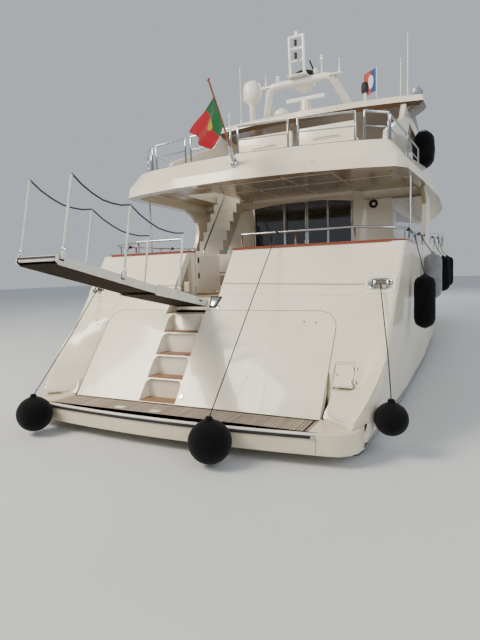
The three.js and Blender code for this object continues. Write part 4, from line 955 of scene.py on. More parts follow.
@dataclass
class Forms(Assembly):
    """Solids whose shape is right: each gets smooth shading, rounded edges and its finish."""

    rows: tuple[tuple[Any, ...], ...] = (
        # solid, finish, smoothing angle, rounding if it has one
        ("hull", HULL, 25.0),
        ("garage_door", GELCOAT, 25.0),
        ("locker_hatch", GELCOAT, 25.0, 0.006),
        ("stern_gate", GELCOAT, 40.0, 0.008),
        ("cockpit_sole", DECK_TEAK, 25.0),
        ("deckhouse", GELCOAT, 32.0),
        ("side_glass_starboard", GLASS, 25.0),
        ("side_glass_port", GLASS, 25.0),
        ("windscreen_glass", GLASS, 40.0),
        ("screen_glass_port", GLASS, 25.0),
        ("screen_glass_starboard", GLASS, 25.0),
        ("saloon_door_port", GLASS, 25.0),
        ("saloon_door_starboard", GLASS, 25.0),
        ("upper_deck", DECKHEAD, 38.0),
        ("stairs", GELCOAT, 25.0, 0.008),
        ("stair_rail", STEEL, 70.0),
        ("hardtop", HARDTOP, 38.0),
        ("fly_coaming", GELCOAT, 38.0, 0.012),
        ("fly_windscreen", GLASS, 40.0),
        ("helm_console", GELCOAT, 30.0, 0.03),
        ("radar_arch", WHITE, 60.0),
        ("ladder_mast", WHITE, 60.0),
        ("sat_dome", WHITE, 60.0),
        ("radar_scanner", WHITE, 40.0, 0.012),
        ("bulwark_rail", STEEL, 70.0),
        ("upper_rail", STEEL, 70.0),
        ("teak_cap_starboard", VARNISH, 40.0, 0.008),
        ("teak_cap_port", VARNISH, 40.0, 0.008),
        ("awning_pole_starboard", STEEL, 60.0),
        ("awning_pole_port", STEEL, 60.0),
        ("propeller_starboard", BRONZE, 50.0, 0.003),
        ("propeller_port", BRONZE, 50.0, 0.003),
        ("rudder_starboard", BRONZE, 50.0, 0.01),
        ("rudder_port", BRONZE, 50.0, 0.01),
        ("ensign_staff", VARNISH, 60.0),
        ("cockpit_table", SLAT_TEAK, 40.0, 0.01),
        ("anchor", STEEL, 40.0, 0.01),
        ("engine_starboard", IRON, 30.0, 0.04),
        ("engine_port", IRON, 30.0, 0.04),
    )

    def build(self) -> None:
        """Makes every copy."""
        for row in self.rows:
            self.remade(*row)


@dataclass(frozen=True)
class TransomFrame:
    """The raked transom's plane, for fittings that lie on it."""

    foot_y: float = -12.54
    foot_z: float = 0.45
    rake: float = 0.767

    @property
    def slope(self) -> float:
        """Gives the length up the slope for a metre of height."""
        return math.hypot(1.0, self.rake)

    def along(self, z: float) -> float:
        """Gives the plane's y at one height."""
        return self.foot_y + self.rake * (z - self.foot_z)

    def at(self, x: float, z: float, out: float = 0.0) -> Matrix:
        """Gives the frame of a point on the transom: across, up the slope, outward.

        Args:
            x: Distance to starboard.
            z: Height over the water.
            out: Distance off the surface.

        Returns:
            Matrix from that frame to the boat's.
        """
        up = Vector((0.0, self.rake / self.slope, 1 / self.slope))
        outward = Vector((0.0, -1 / self.slope, self.rake / self.slope))
        spot = Vector((x, self.along(z), z)) + outward * out
        return framed(Vector((1.0, 0.0, 0.0)), up, outward, spot)


PLANE = TransomFrame()


@dataclass
class Transom(Assembly):
    """Fittings on the raked transom: moulded lines, door gasket, locker hardware, treads and mooring ports."""

    # moulded lines as points across and up
    lips: tuple[Flats, ...] = (
        ((0.06, 2.415), (2.5, 2.352), (2.66, 2.36)),
        ((-1.06, 2.4), (-2.5, 2.352), (-2.66, 2.36)),
    )
    faint_lines: tuple[Flats, ...] = (
        ((0.06, 2.215), (2.56, 2.165)),
        ((-1.06, 2.215), (-2.56, 2.165)),
    )
    # radius and height of each point of a round cover and of the black disc of painted shade over a small hole
    rim: Flats = (
        (0.0, 0.0), (0.034, 0.0), (0.04, 0.004), (0.034, 0.012), (0.026, 0.013), (0.024, 0.006), (0.0, 0.006)
    )
    plug: Flats = ((0.0, 0.0), (0.014, 0.0), (0.014, 0.003), (0.0, 0.004))
    light_spot: Flat = (0.08, 1.985)
    plate_spot: Flat = (-0.09, 0.58)
    plate_share: float = 1.2
    hole_spots: Flats = ((1.76, 1.76), (1.96, 1.75), (-2.61, 1.73))
    tread_x: Flat = (-0.9, -0.17)
    # heights of the treads and of the last scoop's head
    treads: Floats = (0.45, 0.8, 1.16, 1.53, 1.86)
    tread_rise: float = 0.016
    scoop_corner: float = 0.09
    scoop_deep: float = 0.12
    door_half: float = 2.3
    door_top: float = 1.93
    door_corner: float = 0.33
    corner_flat: float = 0.79
    notch_x: Flat = (-1.01, -0.14)
    port_x: float = 2.9
    port_z: float = 2.34
    # half width, half height and corner of a mooring port and of its moulded surround
    port_half: Coords = (0.18, 0.095, 0.0945)
    surround: Coords = (0.222, 0.17, 0.085)
    surround_flat: float = 0.55
    roller_x: Flat = (-0.105, 0.105)
    roller: Flats = (
        (0.0, -0.08), (0.03, -0.08), (0.03, -0.065), (0.02, -0.05), (0.02, 0.05), (0.03, 0.065), (0.03, 0.08),
        (0.0, 0.08),
    )
    hinge_heights: Flat = (0.955, 1.125)
    # each hinge's halves: name, body, distance from the hatch's edge
    hinge_halves: tuple[tuple[str, Body, float], ...] = (
        ("locker_hinges", Body.LOCKER, -0.024), ("hinge_leaves", Body.HULL, 0.03)
    )
    # half width, half height and corner of a hinge's leaf and of the latch
    leaf: Coords = (0.018, 0.017, 0.012)
    latch: Coords = (0.02, 0.016, 0.008)
    leaf_thick: float = 0.006
    latch_spot: Flat = (0.045, 1.035)
    seal_in: Flat = (0.004, 0.03)
    seal_corner: float = 0.05
    # side, foot, head and fade at the head of the fairings over the corner mouldings
    fairings: tuple[tuple[int, float, float, float], ...] = ((-1, 0.47, 2.05, 0.12), (1, 0.47, 0.86, 0.14))
    fairing_x: Flat = (2.335, 3.12)
    bracket: Flats = ((-0.12, 0.13), (0.12, 0.13), (0.05, -0.11), (-0.075, -0.11))
    bracket_spot: Flat = (-0.02, 2.06)

    def build(self) -> None:
        """Makes every fitting on the transom."""
        self.quarter_fairings()
        self.moulded_lines()
        self.gasket()
        self.small_fittings()
        self.locker_hardware()
        self.step_treads()
        for side in (-1, 1):
            self.mooring_port(side)
        self.plank_bracket()

    def line(self, points: Sequence[Flat], radius: float, out: float, corner: float = 0.0
             ) -> Piece:
        """Runs a round bead over the transom.

        Args:
            points: Its corners, across and up.
            radius: Radius of the bead.
            out: Distance of its middle off the surface.
            corner: Length that each bend takes off the straights.

        Returns:
            The bead.
        """
        return pipe([PLANE.at(x, z, out).translation for x, z in points], radius, corner)

    def quarter_fairings(self) -> None:
        """Sweeps one smooth skin from the transom over each corner moulding."""
        hull = self.faces("hull")
        for side, foot, head, fade in self.fairings:
            columns, rows = 24, max(8, int((head - foot) / 0.05))
            made = grid(columns, rows)
            lines: dict[float, list[Flat]] = {}
            for vertex in made.data.vertices:
                level, i = round(vertex.co.y, 4), round((vertex.co.x + 1) / 2 * columns)
                z = foot + (head - foot) * (level + 1) / 2
                if level not in lines:
                    row = self.across(hull, side, z, columns)
                    keep = min(1.0, (head - z) / fade)
                    lines[level] = [(x, y + (top - y) * keep) for (x, y), top in zip(row, self.bridged(row))]
                x, y = lines[level][i]
                vertex.co = (side * x, y - 0.0015, z)
            modify(made, "SMOOTH", factor=0.5, iterations=2, use_x=False, use_y=True, use_z=False)
            modify(made, "SOLIDIFY", thickness=0.003, offset=0.0)
            edit(made, lambda: bpy.ops.mesh.normals_make_consistent(inside=False))
            self.fit("fairing_starboard" if side > 0 else "fairing_port", [smooth(made, 50.0)], HULL)

    def across(self, hull: BVHTree, side: int, z: float, columns: int) -> list[Flat]:
        """Feels the hull's aft face across one corner, from the door out to where the face ends.

        Args:
            hull: The hull's faces.
            side: 1 for starboard, -1 for port.
            z: Height of the line.
            columns: Steps across.

        Returns:
            Distance across and place along of each point.
        """
        plane = PLANE.along(z)
        inner, outer = self.fairing_x

        def felt(x: float) -> float:
            """Gives where the hull is met at one distance across."""
            return onto(hull, (side * x, -16.0, z), (0, 1, 0))[0].y

        while outer > inner + 0.2 and not plane - 1.2 < felt(outer) < plane + 0.12:
            outer -= 0.01
        span = (outer - inner) / columns
        return [(inner + span * i, felt(inner + span * i)) for i in range(columns + 1)]

    @staticmethod
    def bridged(row: Sequence[Flat]) -> list[float]:
        """Stretches a line over the hollows of a profile.

        Args:
            row: Distance across and place along of each point, ordered across.

        Returns:
            The place along of the stretched line at each point.
        """
        chain: list[Flat] = []
        for point in row:
            while len(chain) > 1:
                (x0, y0), (x1, y1) = chain[-2:]
                if (x1 - x0) * (point[1] - y0) - (y1 - y0) * (point[0] - x0) > 0:
                    break
                chain.pop()
            chain.append(point)
        result = []
        for x, _ in row:
            for (x0, y0), (x1, y1) in zip(chain, chain[1:]):
                if x <= x1 + 1e-9:
                    result.append(y0 + (y1 - y0) * (x - x0) / (x1 - x0))
                    break
        return result

    def moulded_lines(self) -> None:
        """Runs the moulded lip of the upper band and the fainter line below it, with a grey line of painted
        shadow under each lip.
        """
        beads = [self.line(points, 0.016, 0.002, 0.1) for points in self.lips]
        beads += [self.line(points, 0.006, 0.001) for points in self.faint_lines]
        self.fit("transom_lips", beads, GELCOAT)
        # a thin grey bead just under each lip, painted as the lip's shadow
        shadows = [self.line([(x, z - 0.02) for x, z in points], 0.004, 0.0, 0.1) for points in self.lips]
        self.fit("transom_lip_shadows", shadows, SEALANT_AND_SHADOW, slot=Slot.GELCOAT)

    def gasket(self) -> None:
        """Seals the garage door's edge with a dark rubber line, left open at the passerelle's notch."""
        pieces = []
        for side, inner in ((-1, self.notch_x[0]), (1, self.notch_x[1])):
            edge = side * self.door_half
            points = [(edge, 0.47)]
            for angle in (math.pi / 2 * i / 8 for i in range(9)):
                x = edge - side * self.door_corner * (1 - math.cos(angle))
                points.append((x, self.door_top - self.door_corner * self.corner_flat * (1 - math.sin(angle))))
            points.append((inner, self.door_top))
            pieces.append(self.line(points, 0.0055, -0.001))
        self.fit("door_gasket", pieces, SEALANT_AND_SHADOW, Body.GARAGE)

    def small_fittings(self) -> None:
        """Sets the courtesy light, the shower plate and black discs of painted shade for the small holes."""
        light = turned(self.rim, PLANE.at(*self.light_spot), 28)
        plate = turned([(r * self.plate_share, z) for r, z in self.rim], PLANE.at(*self.plate_spot), 28)
        self.fit("courtesy_light", [light], STEEL)
        self.fit("shower_plate", [plate], STEEL, Body.GARAGE)
        # black discs painted as the shade inside small holes
        for number, (x, z) in enumerate(self.hole_spots):
            body = Body.GARAGE if abs(x) < self.door_half else Body.HULL
            self.fit(f"hole_shade_{number}", [turned(self.plug, PLANE.at(x, z), 20)], SHADOW, body)

    def locker_hardware(self) -> None:
        """Puts a dark seal, two hinges and a flush latch on the locker hatch."""
        low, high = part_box("locker_hatch")
        for name, body, shift in self.hinge_halves:
            places = [PLANE.at(high.x + shift, z, 0.0003) for z in self.hinge_heights]
            leaves = [slab(rounded_rectangle(*self.leaf), self.leaf_thick, at, 0.002) for at in places]
            self.fit(name, leaves, STEEL, body)
        across, up = self.latch_spot
        latch = slab(rounded_rectangle(*self.latch), self.leaf_thick, PLANE.at(low.x + across, up), 0.002)
        self.fit("locker_latch", [latch], DULL_STEEL, Body.LOCKER)
        width, height = (high.x - low.x) / 2, (high.z - low.z) / 2 * PLANE.slope
        outline = rounded_rectangle(width - self.seal_in[0], height - self.seal_in[1], self.seal_corner)
        seal = pipe([(u, v, 0.0) for u, v in outline], 0.003, closed=True)
        seal.data.transform(PLANE.at((low.x + high.x) / 2, (low.z + high.z) / 2, 0.0005))
        self.fit("locker_seal", [seal], SEALANT_AND_SHADOW, Body.LOCKER)

    def step_treads(self) -> None:
        """Lays a reddish teak tread in each scooped step, and rounds the scoop's upper corners."""
        x0, x1 = self.tread_x
        rise, corner, deep = self.tread_rise, self.scoop_corner, self.scoop_deep
        pads, fillets = [], []
        for z, top in zip(self.treads, self.treads[1:]):
            edge = PLANE.along(z + rise)
            back = PLANE.along(top) + 0.04
            low, high = (x0 + 0.012, edge + 0.004, z + rise), (x1 - 0.012, back - 0.015, z + rise + 0.014)
            pads.append(block(low, high, 0.005))
            for side, x in ((1, x0), (-1, x1)):
                arc = [(x, top)] + [
                    (x + side * corner * (1 - math.sin(a)), top - corner * (1 - math.cos(a)))
                    for a in (math.pi / 2 * i / 6 for i in range(7))
                ]
                outline = [(u, (v - PLANE.foot_z) * PLANE.slope) for u, v in arc]
                fillets.append(slab(outline, deep, PLANE.at(0, PLANE.foot_z, -deep)))
        self.fit("step_treads", pads, TREAD_TEAK, Body.GARAGE)
        self.fit("step_fillets", fillets, GELCOAT, Body.GARAGE)

    def mooring_port(self, side: int) -> None:
        """Builds the mooring port of one quarter: moulded surround, steel lining and rollers.

        Args:
            side: 1 for starboard, -1 for port.
        """
        name = "starboard" if side > 0 else "port"
        place = PLANE.at(side * self.port_x, self.port_z)
        rim = rounded_rectangle(*self.surround)
        surround = pipe([(u, v, 0.0) for u, v in rim], 0.026, closed=True)
        surround.data.transform(Matrix.Diagonal((1.0, 1.0, self.surround_flat, 1.0)))
        surround.data.transform(place)
        self.fit(f"fairlead_surround_{name}", [surround], GELCOAT)
        oval = rounded_rectangle(*self.port_half, 10)
        lining = pipe([(u, v, 0.003) for u, v in oval], 0.016, closed=True)
        inner = pipe([(u * 0.94, v * 0.9, -0.05) for u, v in oval], 0.012, closed=True)
        upright = Matrix.Rotation(math.radians(90), 4, "X")
        rollers = [
            turned(self.roller, Matrix.Translation((x, 0.0, -0.03)) @ upright, 24) for x in self.roller_x
        ]
        for piece in (lining, inner, *rollers):
            piece.data.transform(place)
        self.fit(f"fairlead_{name}", [lining, inner, *rollers], STEEL)

    def plank_bracket(self) -> None:
        """Hangs the steel-lined bracket that carries the passerelle's root, on a black rim of painted shade."""
        place = PLANE.at(*self.bracket_spot)
        inner = [(u * 0.74, v * 0.78) for u, v in self.bracket]
        # a black rim of painted shade round the plate
        self.fit("bracket_rim_shade", [slab(self.bracket, 0.02, place, 0.006)], SHADOW)
        self.fit("bracket_plate", [slab(inner, 0.026, place, 0.006)], STEEL)


@dataclass
class SternPlatform(Assembly):
    """Stern platform: slatted teak, pale moulded ends, the strips along its edge and two flush hatches."""

    middle_y: float = -13.31
    bow: float = 0.17
    bow_half: float = 2.55
    teak_inset: float = 0.045
    slat_pitch: float = 0.055
    slat_wide: float = 0.046
    border: float = 0.06
    strip_ends: Flat = (-2.46, 2.36)
    hatch_spots: Flats = ((-0.98, -12.92), (-0.28, -12.92))
    # half length, half width and corner of a lid and of its grip
    lid: Coords = (0.085, 0.055, 0.012)
    lid_grip: Coords = (0.03, 0.008, 0.007)

    def build(self) -> None:
        """Makes the platform's pieces."""
        self.remade("swim_platform", FASCIA, 35.0, 0.02)
        self.slats()
        self.strips()
        self.hatches()

    def aft(self, x: float, inset: float = 0.0) -> float:
        """Gives the y of the bowed aft edge, or of a line inside it."""
        return self.middle_y + self.bow * (x / self.bow_half) ** 2 + inset

    def band(
        self, ends: Flat, near: float, far: float, foot: float, depth: float, bevel: float
    ) -> Piece:
        """Makes a strip that follows the bowed edge.

        Args:
            ends: Its port and starboard ends.
            near: Inset of its outer side from the edge.
            far: Inset of its inner side.
            foot: Height of its underside.
            depth: Its height.
            bevel: Rounding of its edges.

        Returns:
            The strip.
        """
        count = 24
        across = [ends[0] + (ends[1] - ends[0]) * i / count for i in range(count + 1)]
        outline = [(x, self.aft(x, near)) for x in across] + [(x, self.aft(x, far)) for x in reversed(across)]
        return slab(outline, depth, (0.0, 0.0, foot), bevel)

    def slats(self) -> None:
        """Lays the fore-and-aft slats inside border boards, over a black sheet of painted shade for the gaps
        between them.
        """
        low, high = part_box("platform_teak")
        side = low.x + self.border
        start = self.aft(0.0, self.teak_inset + self.border + 0.005)
        first = side + 0.006
        slat = block((first, start, low.z + 0.002), (first + self.slat_wide, high.y - 0.004, high.z), 0.003, 1)
        count = int((high.x - low.x - 2 * self.border - 0.012) / self.slat_pitch)
        modify(
            slat, "ARRAY", count=count, use_relative_offset=False, use_constant_offset=True,
            constant_offset_displace=(self.slat_pitch, 0.0, 0.0),
        )
        for vertex in slat.data.vertices:
            if vertex.co.y < start + 0.1:
                vertex.co.y += self.aft(vertex.co.x) - self.aft(0.0)
        half = high.x
        inner = self.teak_inset + self.border
        boards = [self.band((-half, half), self.teak_inset, inner, low.z, 0.014, 0.003)]
        for x in (-half, half - self.border):
            foot = self.aft(half, inner + 0.003)
            boards.append(block((x, foot, low.z), (x + self.border, high.y, high.z), 0.003))
        self.fit("platform_slats", [slat, *boards], SLAT_TEAK, replaces=["platform_teak"])
        # a black sheet under the slats, painted as the shade in their gaps
        across = [half * (i / 6 - 1) for i in range(13)]
        gap_shade_outline = [(x, self.aft(x, self.teak_inset)) for x in across] + [(half, high.y), (-half, high.y)]
        self.fit("slat_gap_shade", [slab(gap_shade_outline, 0.003, (0.0, 0.0, low.z - 0.0005))], SHADOW)

    def strips(self) -> None:
        """Runs the white strip, the black rubber, its steel ends and the mould seams along the aft edge."""
        low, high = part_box("swim_platform")
        top = high.z
        white = self.band(self.strip_ends, -0.006, 0.03, top - 0.034, 0.026, 0.006)
        self.fit("edge_strip", [white], WHITE)
        rubber = self.band(self.strip_ends, -0.02, 0.012, top - 0.078, 0.04, 0.012)
        self.fit("edge_rubber", [rubber], RUBBER)
        left, right = self.strip_ends
        caps = [
            self.band(ends, -0.023, 0.012, top - 0.081, 0.05, 0.008)
            for ends in ((left - 0.05, left), (right, right + 0.05))
        ]
        self.fit("edge_caps", caps, STEEL)
        seams = [
            self.band((x - 0.0015, x + 0.0015), -0.001, 0.02, low.z + 0.02, top - low.z - 0.1, 0.0)
            for x in (left - 0.06, right + 0.06)
        ]
        self.fit("platform_seams", seams, SHADOW)

    def hatches(self) -> None:
        """Sets two pale flush lids with their grips in the slats."""
        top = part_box("platform_teak")[1].z
        lids = []
        for x, y in self.hatch_spots:
            lids.append(slab(rounded_rectangle(*self.lid), 0.004, (x, y, top - 0.001), 0.002))
            lids.append(slab(rounded_rectangle(*self.lid_grip), 0.006, (x, y, top), 0.002))
        self.fit("platform_lids", lids, WHITE)


@dataclass
class SaloonScreen(Assembly):
    """Aft end of the saloon: frames round the dark panes, door stiles, grips and the curved header."""

    face_y: float = -6.35
    rail: float = 0.028
    mullions: Floats = (-0.475, 0.745)
    header_past: float = 0.06
    header_rise: float = 0.11
    stile: float = 0.045
    grip_heights: Flat = (3.0, 3.45)

    def build(self) -> None:
        """Makes the screen's pieces."""
        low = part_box("screen_glass_port")[0]
        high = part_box("screen_glass_starboard")[1]
        # half width, distance out and in of the face, distance below the glass
        middle, edge = (self.rail, 0.018, 0.03, 0.2), (0.03, 0.014, 0.02, 0.06)
        posts = [(x, *middle) for x in self.mullions] + [(x, *edge) for x in (low.x - 0.01, high.x + 0.01)]
        bars = [
            block((x - half, self.face_y - out, low.z - under), (x + half, self.face_y + inside, high.z), 0.006)
            for x, half, out, inside, under in posts
        ]
        self.fit("screen_frames", bars, STEEL)
        self.header(low.x, high.x, high.z)
        self.doors()

    def header(self, left: float, right: float, top: float) -> None:
        """Arches a cream band over the glass.

        Args:
            left: Port end of the glass.
            right: Starboard end of the glass.
            top: Head of the glass.
        """
        past, rise = self.header_past, self.header_rise
        arch = []
        for share in (i / 16 for i in range(17)):
            x = left - past + (right - left + 2 * past) * share
            arch.append((x, top - 0.1 + rise * math.sin(math.pi * share)))
        outline = arch + [(right + past, top + past), (left - past, top + past)]
        place = Matrix(((1, 0, 0, 0), (0, 0, 1, self.face_y - 0.022), (0, 1, 0, 0), (0, 0, 0, 1)))
        self.fit("screen_header", [slab(outline[::-1], 0.02, place, 0.004)], SOFFIT)

    def doors(self) -> None:
        """Frames each sliding leaf and gives it a long grip."""
        for side, body, node in (
            (-1, Body.DOOR_PORT, "saloon_door_port"),
            (1, Body.DOOR_STARBOARD, "saloon_door_starboard"),
        ):
            low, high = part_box(node)
            meet = high.x if side < 0 else low.x
            x, y = meet + self.stile * side, low.y
            stile = block((min(meet, x), y - 0.006, low.z), (max(meet, x), y, high.z), 0.002)
            foot, head = self.grip_heights
            grip = pipe([(x, y, foot), (x, y - 0.03, foot), (x, y - 0.03, head), (x, y, head)], 0.009, 0.02)
            self.fit(f"{node}_trim", [stile, grip], STEEL, body)


@dataclass
class Overhang(Assembly):
    """Underside of the upper deck and the fittings on its stern fascia."""

    soffit_z: float = 4.6
    joints_x: Floats = (-1.62, -0.55, 0.5, 1.54)
    joints_y: Floats = (-9.6, -8.92, -7.9)
    soffit_y: Flat = (-10.3, -6.5)
    soffit_x: float = 2.6
    batten_half: float = 0.012
    # radius and height of each point of a lamp and of the loudspeaker
    lamp_rim: Flats = (
        (0.0, 0.0), (0.055, 0.0), (0.06, -0.006), (0.045, -0.01), (0.04, -0.004), (0.0, -0.004)
    )
    speaker_ring: Flats = (
        (0.0, 0.0), (0.105, 0.0), (0.11, 0.02), (0.1, 0.035), (0.075, 0.03), (0.05, 0.012), (0.0, 0.012)
    )
    speaker_cone: Flats = ((0.0, 0.01), (0.046, 0.012), (0.03, 0.028), (0.0, 0.034))
    speaker_sight: Coords = (1.86, -9.0, 4.27)
    lamps: Flats = ((-1.25, -9.25), (1.24, -8.86), (-1.25, -7.3), (1.24, -7.3))

    def build(self) -> None:
        """Makes the soffit's battens and lamps, the ensign's socket and the loudspeaker."""
        z = self.soffit_z
        half, (aft, fore), side = self.batten_half, self.soffit_y, self.soffit_x
        battens = [block((x - half, aft, z - 0.008), (x + half, fore, z), 0.003) for x in self.joints_x]
        battens += [block((-side, y - half, z - 0.007), (side, y + half, z), 0.003) for y in self.joints_y]
        self.fit("soffit_battens", battens, GELCOAT)
        lamps = [turned(self.lamp_rim, (x, y, z - 0.001), 24) for x, y in self.lamps]
        self.fit("soffit_lamps", lamps, DULL_STEEL)
        sleeve = drum((0.0, -10.35, 4.73), (0.0, -10.56, 5.0), 0.046, 0.036, bevel=0.01)
        pad = dome((0.0, -10.335, 4.7), 0.075, 0.1)
        knob = drum((-0.07, -10.44, 4.86), (0.07, -10.44, 4.86), 0.012, None, 12, 0.003)
        self.fit("staff_socket", [sleeve, pad, knob], STEEL)
        self.speaker()

    def speaker(self) -> None:
        """Sets a round loudspeaker high beside the saloon screen."""
        place = facing(*onto(self.faces("deckhouse"), self.speaker_sight, (0, 1, 0)))
        self.fit("speaker_ring", [turned(self.speaker_ring, place, 32)], RUBBER)
        self.fit("speaker_cone", [turned(self.speaker_cone, place, 28)], WHITE)


@dataclass
class MastHead(Assembly):
    """Domes, lamps and small fittings on the hardtop and the radar arch."""

    aerials: tuple[tuple[float, float, float], ...] = (
        # x, y, height of the ferrule's foot
        (-1.88, -5.95, 6.86),
        (-2.34, -5.8, 6.84),
        (2.48, -5.6, 6.72),
        (2.64, -5.5, 6.7),
        (1.06, -6.22, 7.64),
        (-0.98, -6.22, 7.64),
        (0.6, -6.22, 7.64),
    )
    flag_staff: Coords = (1.68, -4.5, 8.25)
    roof_z: float = 6.85
    hardtop_lights_x: Floats = (-1.41, -0.81, -0.54, 0.68, 0.97)
    hardtop_lights_z: float = 6.77
    mast_lamps_z: Flat = (8.08, 8.4)
    receiver_spots: tuple[Coords, ...] = ((-0.62, -6.22, 7.72), (0.43, -6.22, 7.72))
    # radius and height of each point of the turned fittings
    receiver: Flats = (
        (0.0, 0.0), (0.024, 0.0), (0.024, 0.06), (0.055, 0.075), (0.06, 0.1), (0.045, 0.125), (0.0, 0.135)
    )
    pole_light: Flats = (
        (0.0, 0.0), (0.022, 0.0), (0.05, 0.02), (0.052, 0.07), (0.03, 0.1), (0.022, 0.13), (0.0, 0.16)
    )
    low_dome: Flats = ((0.0, 0.0), (0.2, 0.0), (0.2, 0.08), (0.17, 0.14), (0.1, 0.18), (0.0, 0.19))
    bead: Flats = ((0.0, 0.0), (0.022, 0.0), (0.02, 0.01), (0.0, 0.014))
    lens: Flats = ((0.0, 0.0), (0.04, 0.0), (0.036, 0.07), (0.04, 0.13), (0.0, 0.15))
    dark_lamp: Flats = ((0.0, 0.0), (0.09, 0.0), (0.1, 0.05), (0.1, 0.2), (0.07, 0.27), (0.0, 0.29))
    hub: Flats = ((0.0, 0.0), (0.1, 0.0), (0.1, 0.02), (0.07, 0.035), (0.0, 0.035))

    def build(self) -> None:
        """Makes the masthead's pieces."""
        ferrules = [
            drum((x, y, foot), (x, y, foot + 0.14), 0.024, 0.018, 16, 0.003)
            for x, y, foot in self.aerials
        ]
        self.fit("aerial_ferrules", ferrules, WHITE)
        self.domes()
        self.lamps()
        self.scanner_trim()

    def domes(self) -> None:
        """Makes the small domes, the position receivers, the black hood and the dark stick."""
        made = [turned(self.receiver, spot, 24) for spot in self.receiver_spots]
        made.append(turned(self.pole_light, (0.6, -6.22, 8.0), 20))
        made.append(turned(self.low_dome, (-0.75, -5.7, 6.98), 32, 60.0))
        self.fit("small_domes", made, WHITE)
        hood = dome((0.04, -5.9, 7.86), 0.3, 0.1)
        stick = drum((0.43, -6.2, 7.68), (0.27, -6.2, 8.09), 0.021, bevel=0.004)
        self.fit("black_hood", [hood, stick], RUBBER)
        lamp = dome((2.89, -5.6, 6.98), 0.13, 0.1)
        rim = drum((2.89, -5.76, 6.98), (2.89, -5.6, 6.98), 0.1, 0.12, 28, 0.008)
        foot = drum((2.89, -5.6, 6.8), (2.89, -5.6, 6.93), 0.05, 0.035)
        self.fit("searchlight", [lamp, rim, foot], DULL_STEEL)

    def lamps(self) -> None:
        """Sets the aft edge's small lights, the mast's lamps, the dark lamp and the flag staff."""
        hardtop = self.faces("hardtop")
        spots = [onto(hardtop, (x, -9.0, self.hardtop_lights_z), (0, 1, 0)) for x in self.hardtop_lights_x]
        lights = [turned(self.bead, facing(*spot), 16) for spot in spots]
        self.fit("hardtop_lights", lights, DULL_STEEL)
        lit = [turned(self.lens, (0.0, -6.53, z), 20) for z in self.mast_lamps_z]
        dark = turned(self.dark_lamp, (1.46, -5.0, 7.42), 28, 60.0)
        post = drum((1.46, -5.0, self.roof_z), (1.46, -5.0, 7.42), 0.05, 0.04)
        self.fit("mast_lamps", [*lit, dark], RUBBER)
        x, y, top = self.flag_staff
        staff = drum((x, y, self.roof_z), (x, y, top), 0.012, 0.008, 12)
        truck = dome((x, y, top), 0.018, 0.012, 16)
        self.fit("courtesy_staff", [staff, truck, post], WHITE)
        self.courtesy_flag()

    def courtesy_flag(self) -> None:
        """Hangs a small plain tricolour, limp, from the staff."""
        x, y, top = self.flag_staff
        made = grid(24, 24)
        for vertex in made.data.vertices:
            u, v = (vertex.co.x + 1) / 2, (vertex.co.y + 1) / 2
            vertex.co = (
                x - 0.014 - 0.33 * u + 0.02 * math.sin(7 * u + 3 * v) * u,
                y - 0.08 * u + 0.035 * math.sin(9 * u + 2 * v) * u,
                top - 0.03 - 0.62 * v - 0.16 * u,
            )
        cloth = smooth(modify(made, "SOLIDIFY", thickness=0.0012, offset=0.0), 80.0)
        self.fit("courtesy_flag", [cloth], COURTESY)

    def scanner_trim(self) -> None:
        """Caps the hub of the turning bar."""
        low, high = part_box("radar_scanner")
        hub = turned(self.hub, ((low.x + high.x) / 2, (low.y + high.y) / 2, low.z), 28)
        self.fit("scanner_hub", [hub], WHITE, Body.SCANNER)


@dataclass
class UpperDeckFurniture(Assembly):
    """Seating on the upper deck, and the covered liferaft."""

    back_joint: Flat = (0.44, 0.62)
    seats: int = 4
    # middles of the grab rails, and a rail's corners across and out of the back
    grips_x: Flat = (-0.25, 1.25)
    grip: Flats = ((-0.3, 0.005), (-0.28, -0.03), (0.28, -0.03), (0.3, 0.005))
    strap_in: float = 0.14

    def build(self) -> None:
        """Makes the furniture."""
        low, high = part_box("fly_settee")
        backs = [
            block((a, low.y, low.z + 0.02), (b, low.y + 0.14, high.z), 0.03, 3)
            for a, b in ((low.x, self.back_joint[0]), (self.back_joint[1], high.x))
        ]
        base = block((low.x, low.y + 0.12, low.z), (high.x, low.y + 0.74, low.z + 0.3), 0.02)
        arm = block((high.x - 0.14, low.y + 0.1, low.z), (high.x, high.y, low.z + 0.68), 0.03, 3)
        grips = [
            pipe([(x + shift, low.y + out, low.z + 0.72) for shift, out in self.grip], 0.01, 0.02)
            for x in self.grips_x
        ]
        self.fit("settee_shell", [*backs, base, arm], GELCOAT)
        self.fit("settee_grips", grips, STEEL)
        pitch = (high.x - low.x - 0.2) / self.seats
        start = low.x + 0.03
        seat = Cushion((start, low.y + 0.16, low.z + 0.3), (start + pitch - 0.02, low.y + 0.72, low.z + 0.43))
        cushions = Cushion.copies(seat.build(), [(pitch * i, 0.0, 0.0) for i in range(1, self.seats)])
        self.fit("settee_cushions", cushions, LEATHER, replaces=["fly_settee"])
        self.liferaft()

    def liferaft(self) -> None:
        """Pulls a black cover over the liferaft and straps it down."""
        low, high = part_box("liferaft")
        raft = copied(self.frame["nodes"]["liferaft"], 60.0)
        self.fit("liferaft_cover", [raft], COVER, replaces=["liferaft"])
        middle_x, middle_z = (low.x + high.x) / 2, (low.z + high.z) / 2
        rx, rz = (high.x - low.x) / 2 - 0.004, (high.z - low.z) / 2 - 0.004
        straps = []
        for y in (low.y + self.strap_in, high.y - self.strap_in):
            ring = [(middle_x + rx * math.cos(a), y, middle_z + rz * math.sin(a))
                    for a in (math.tau * i / 28 for i in range(28))]
            straps.append(pipe(ring, 0.008, closed=True))
        self.fit("liferaft_straps", straps, ROPE)


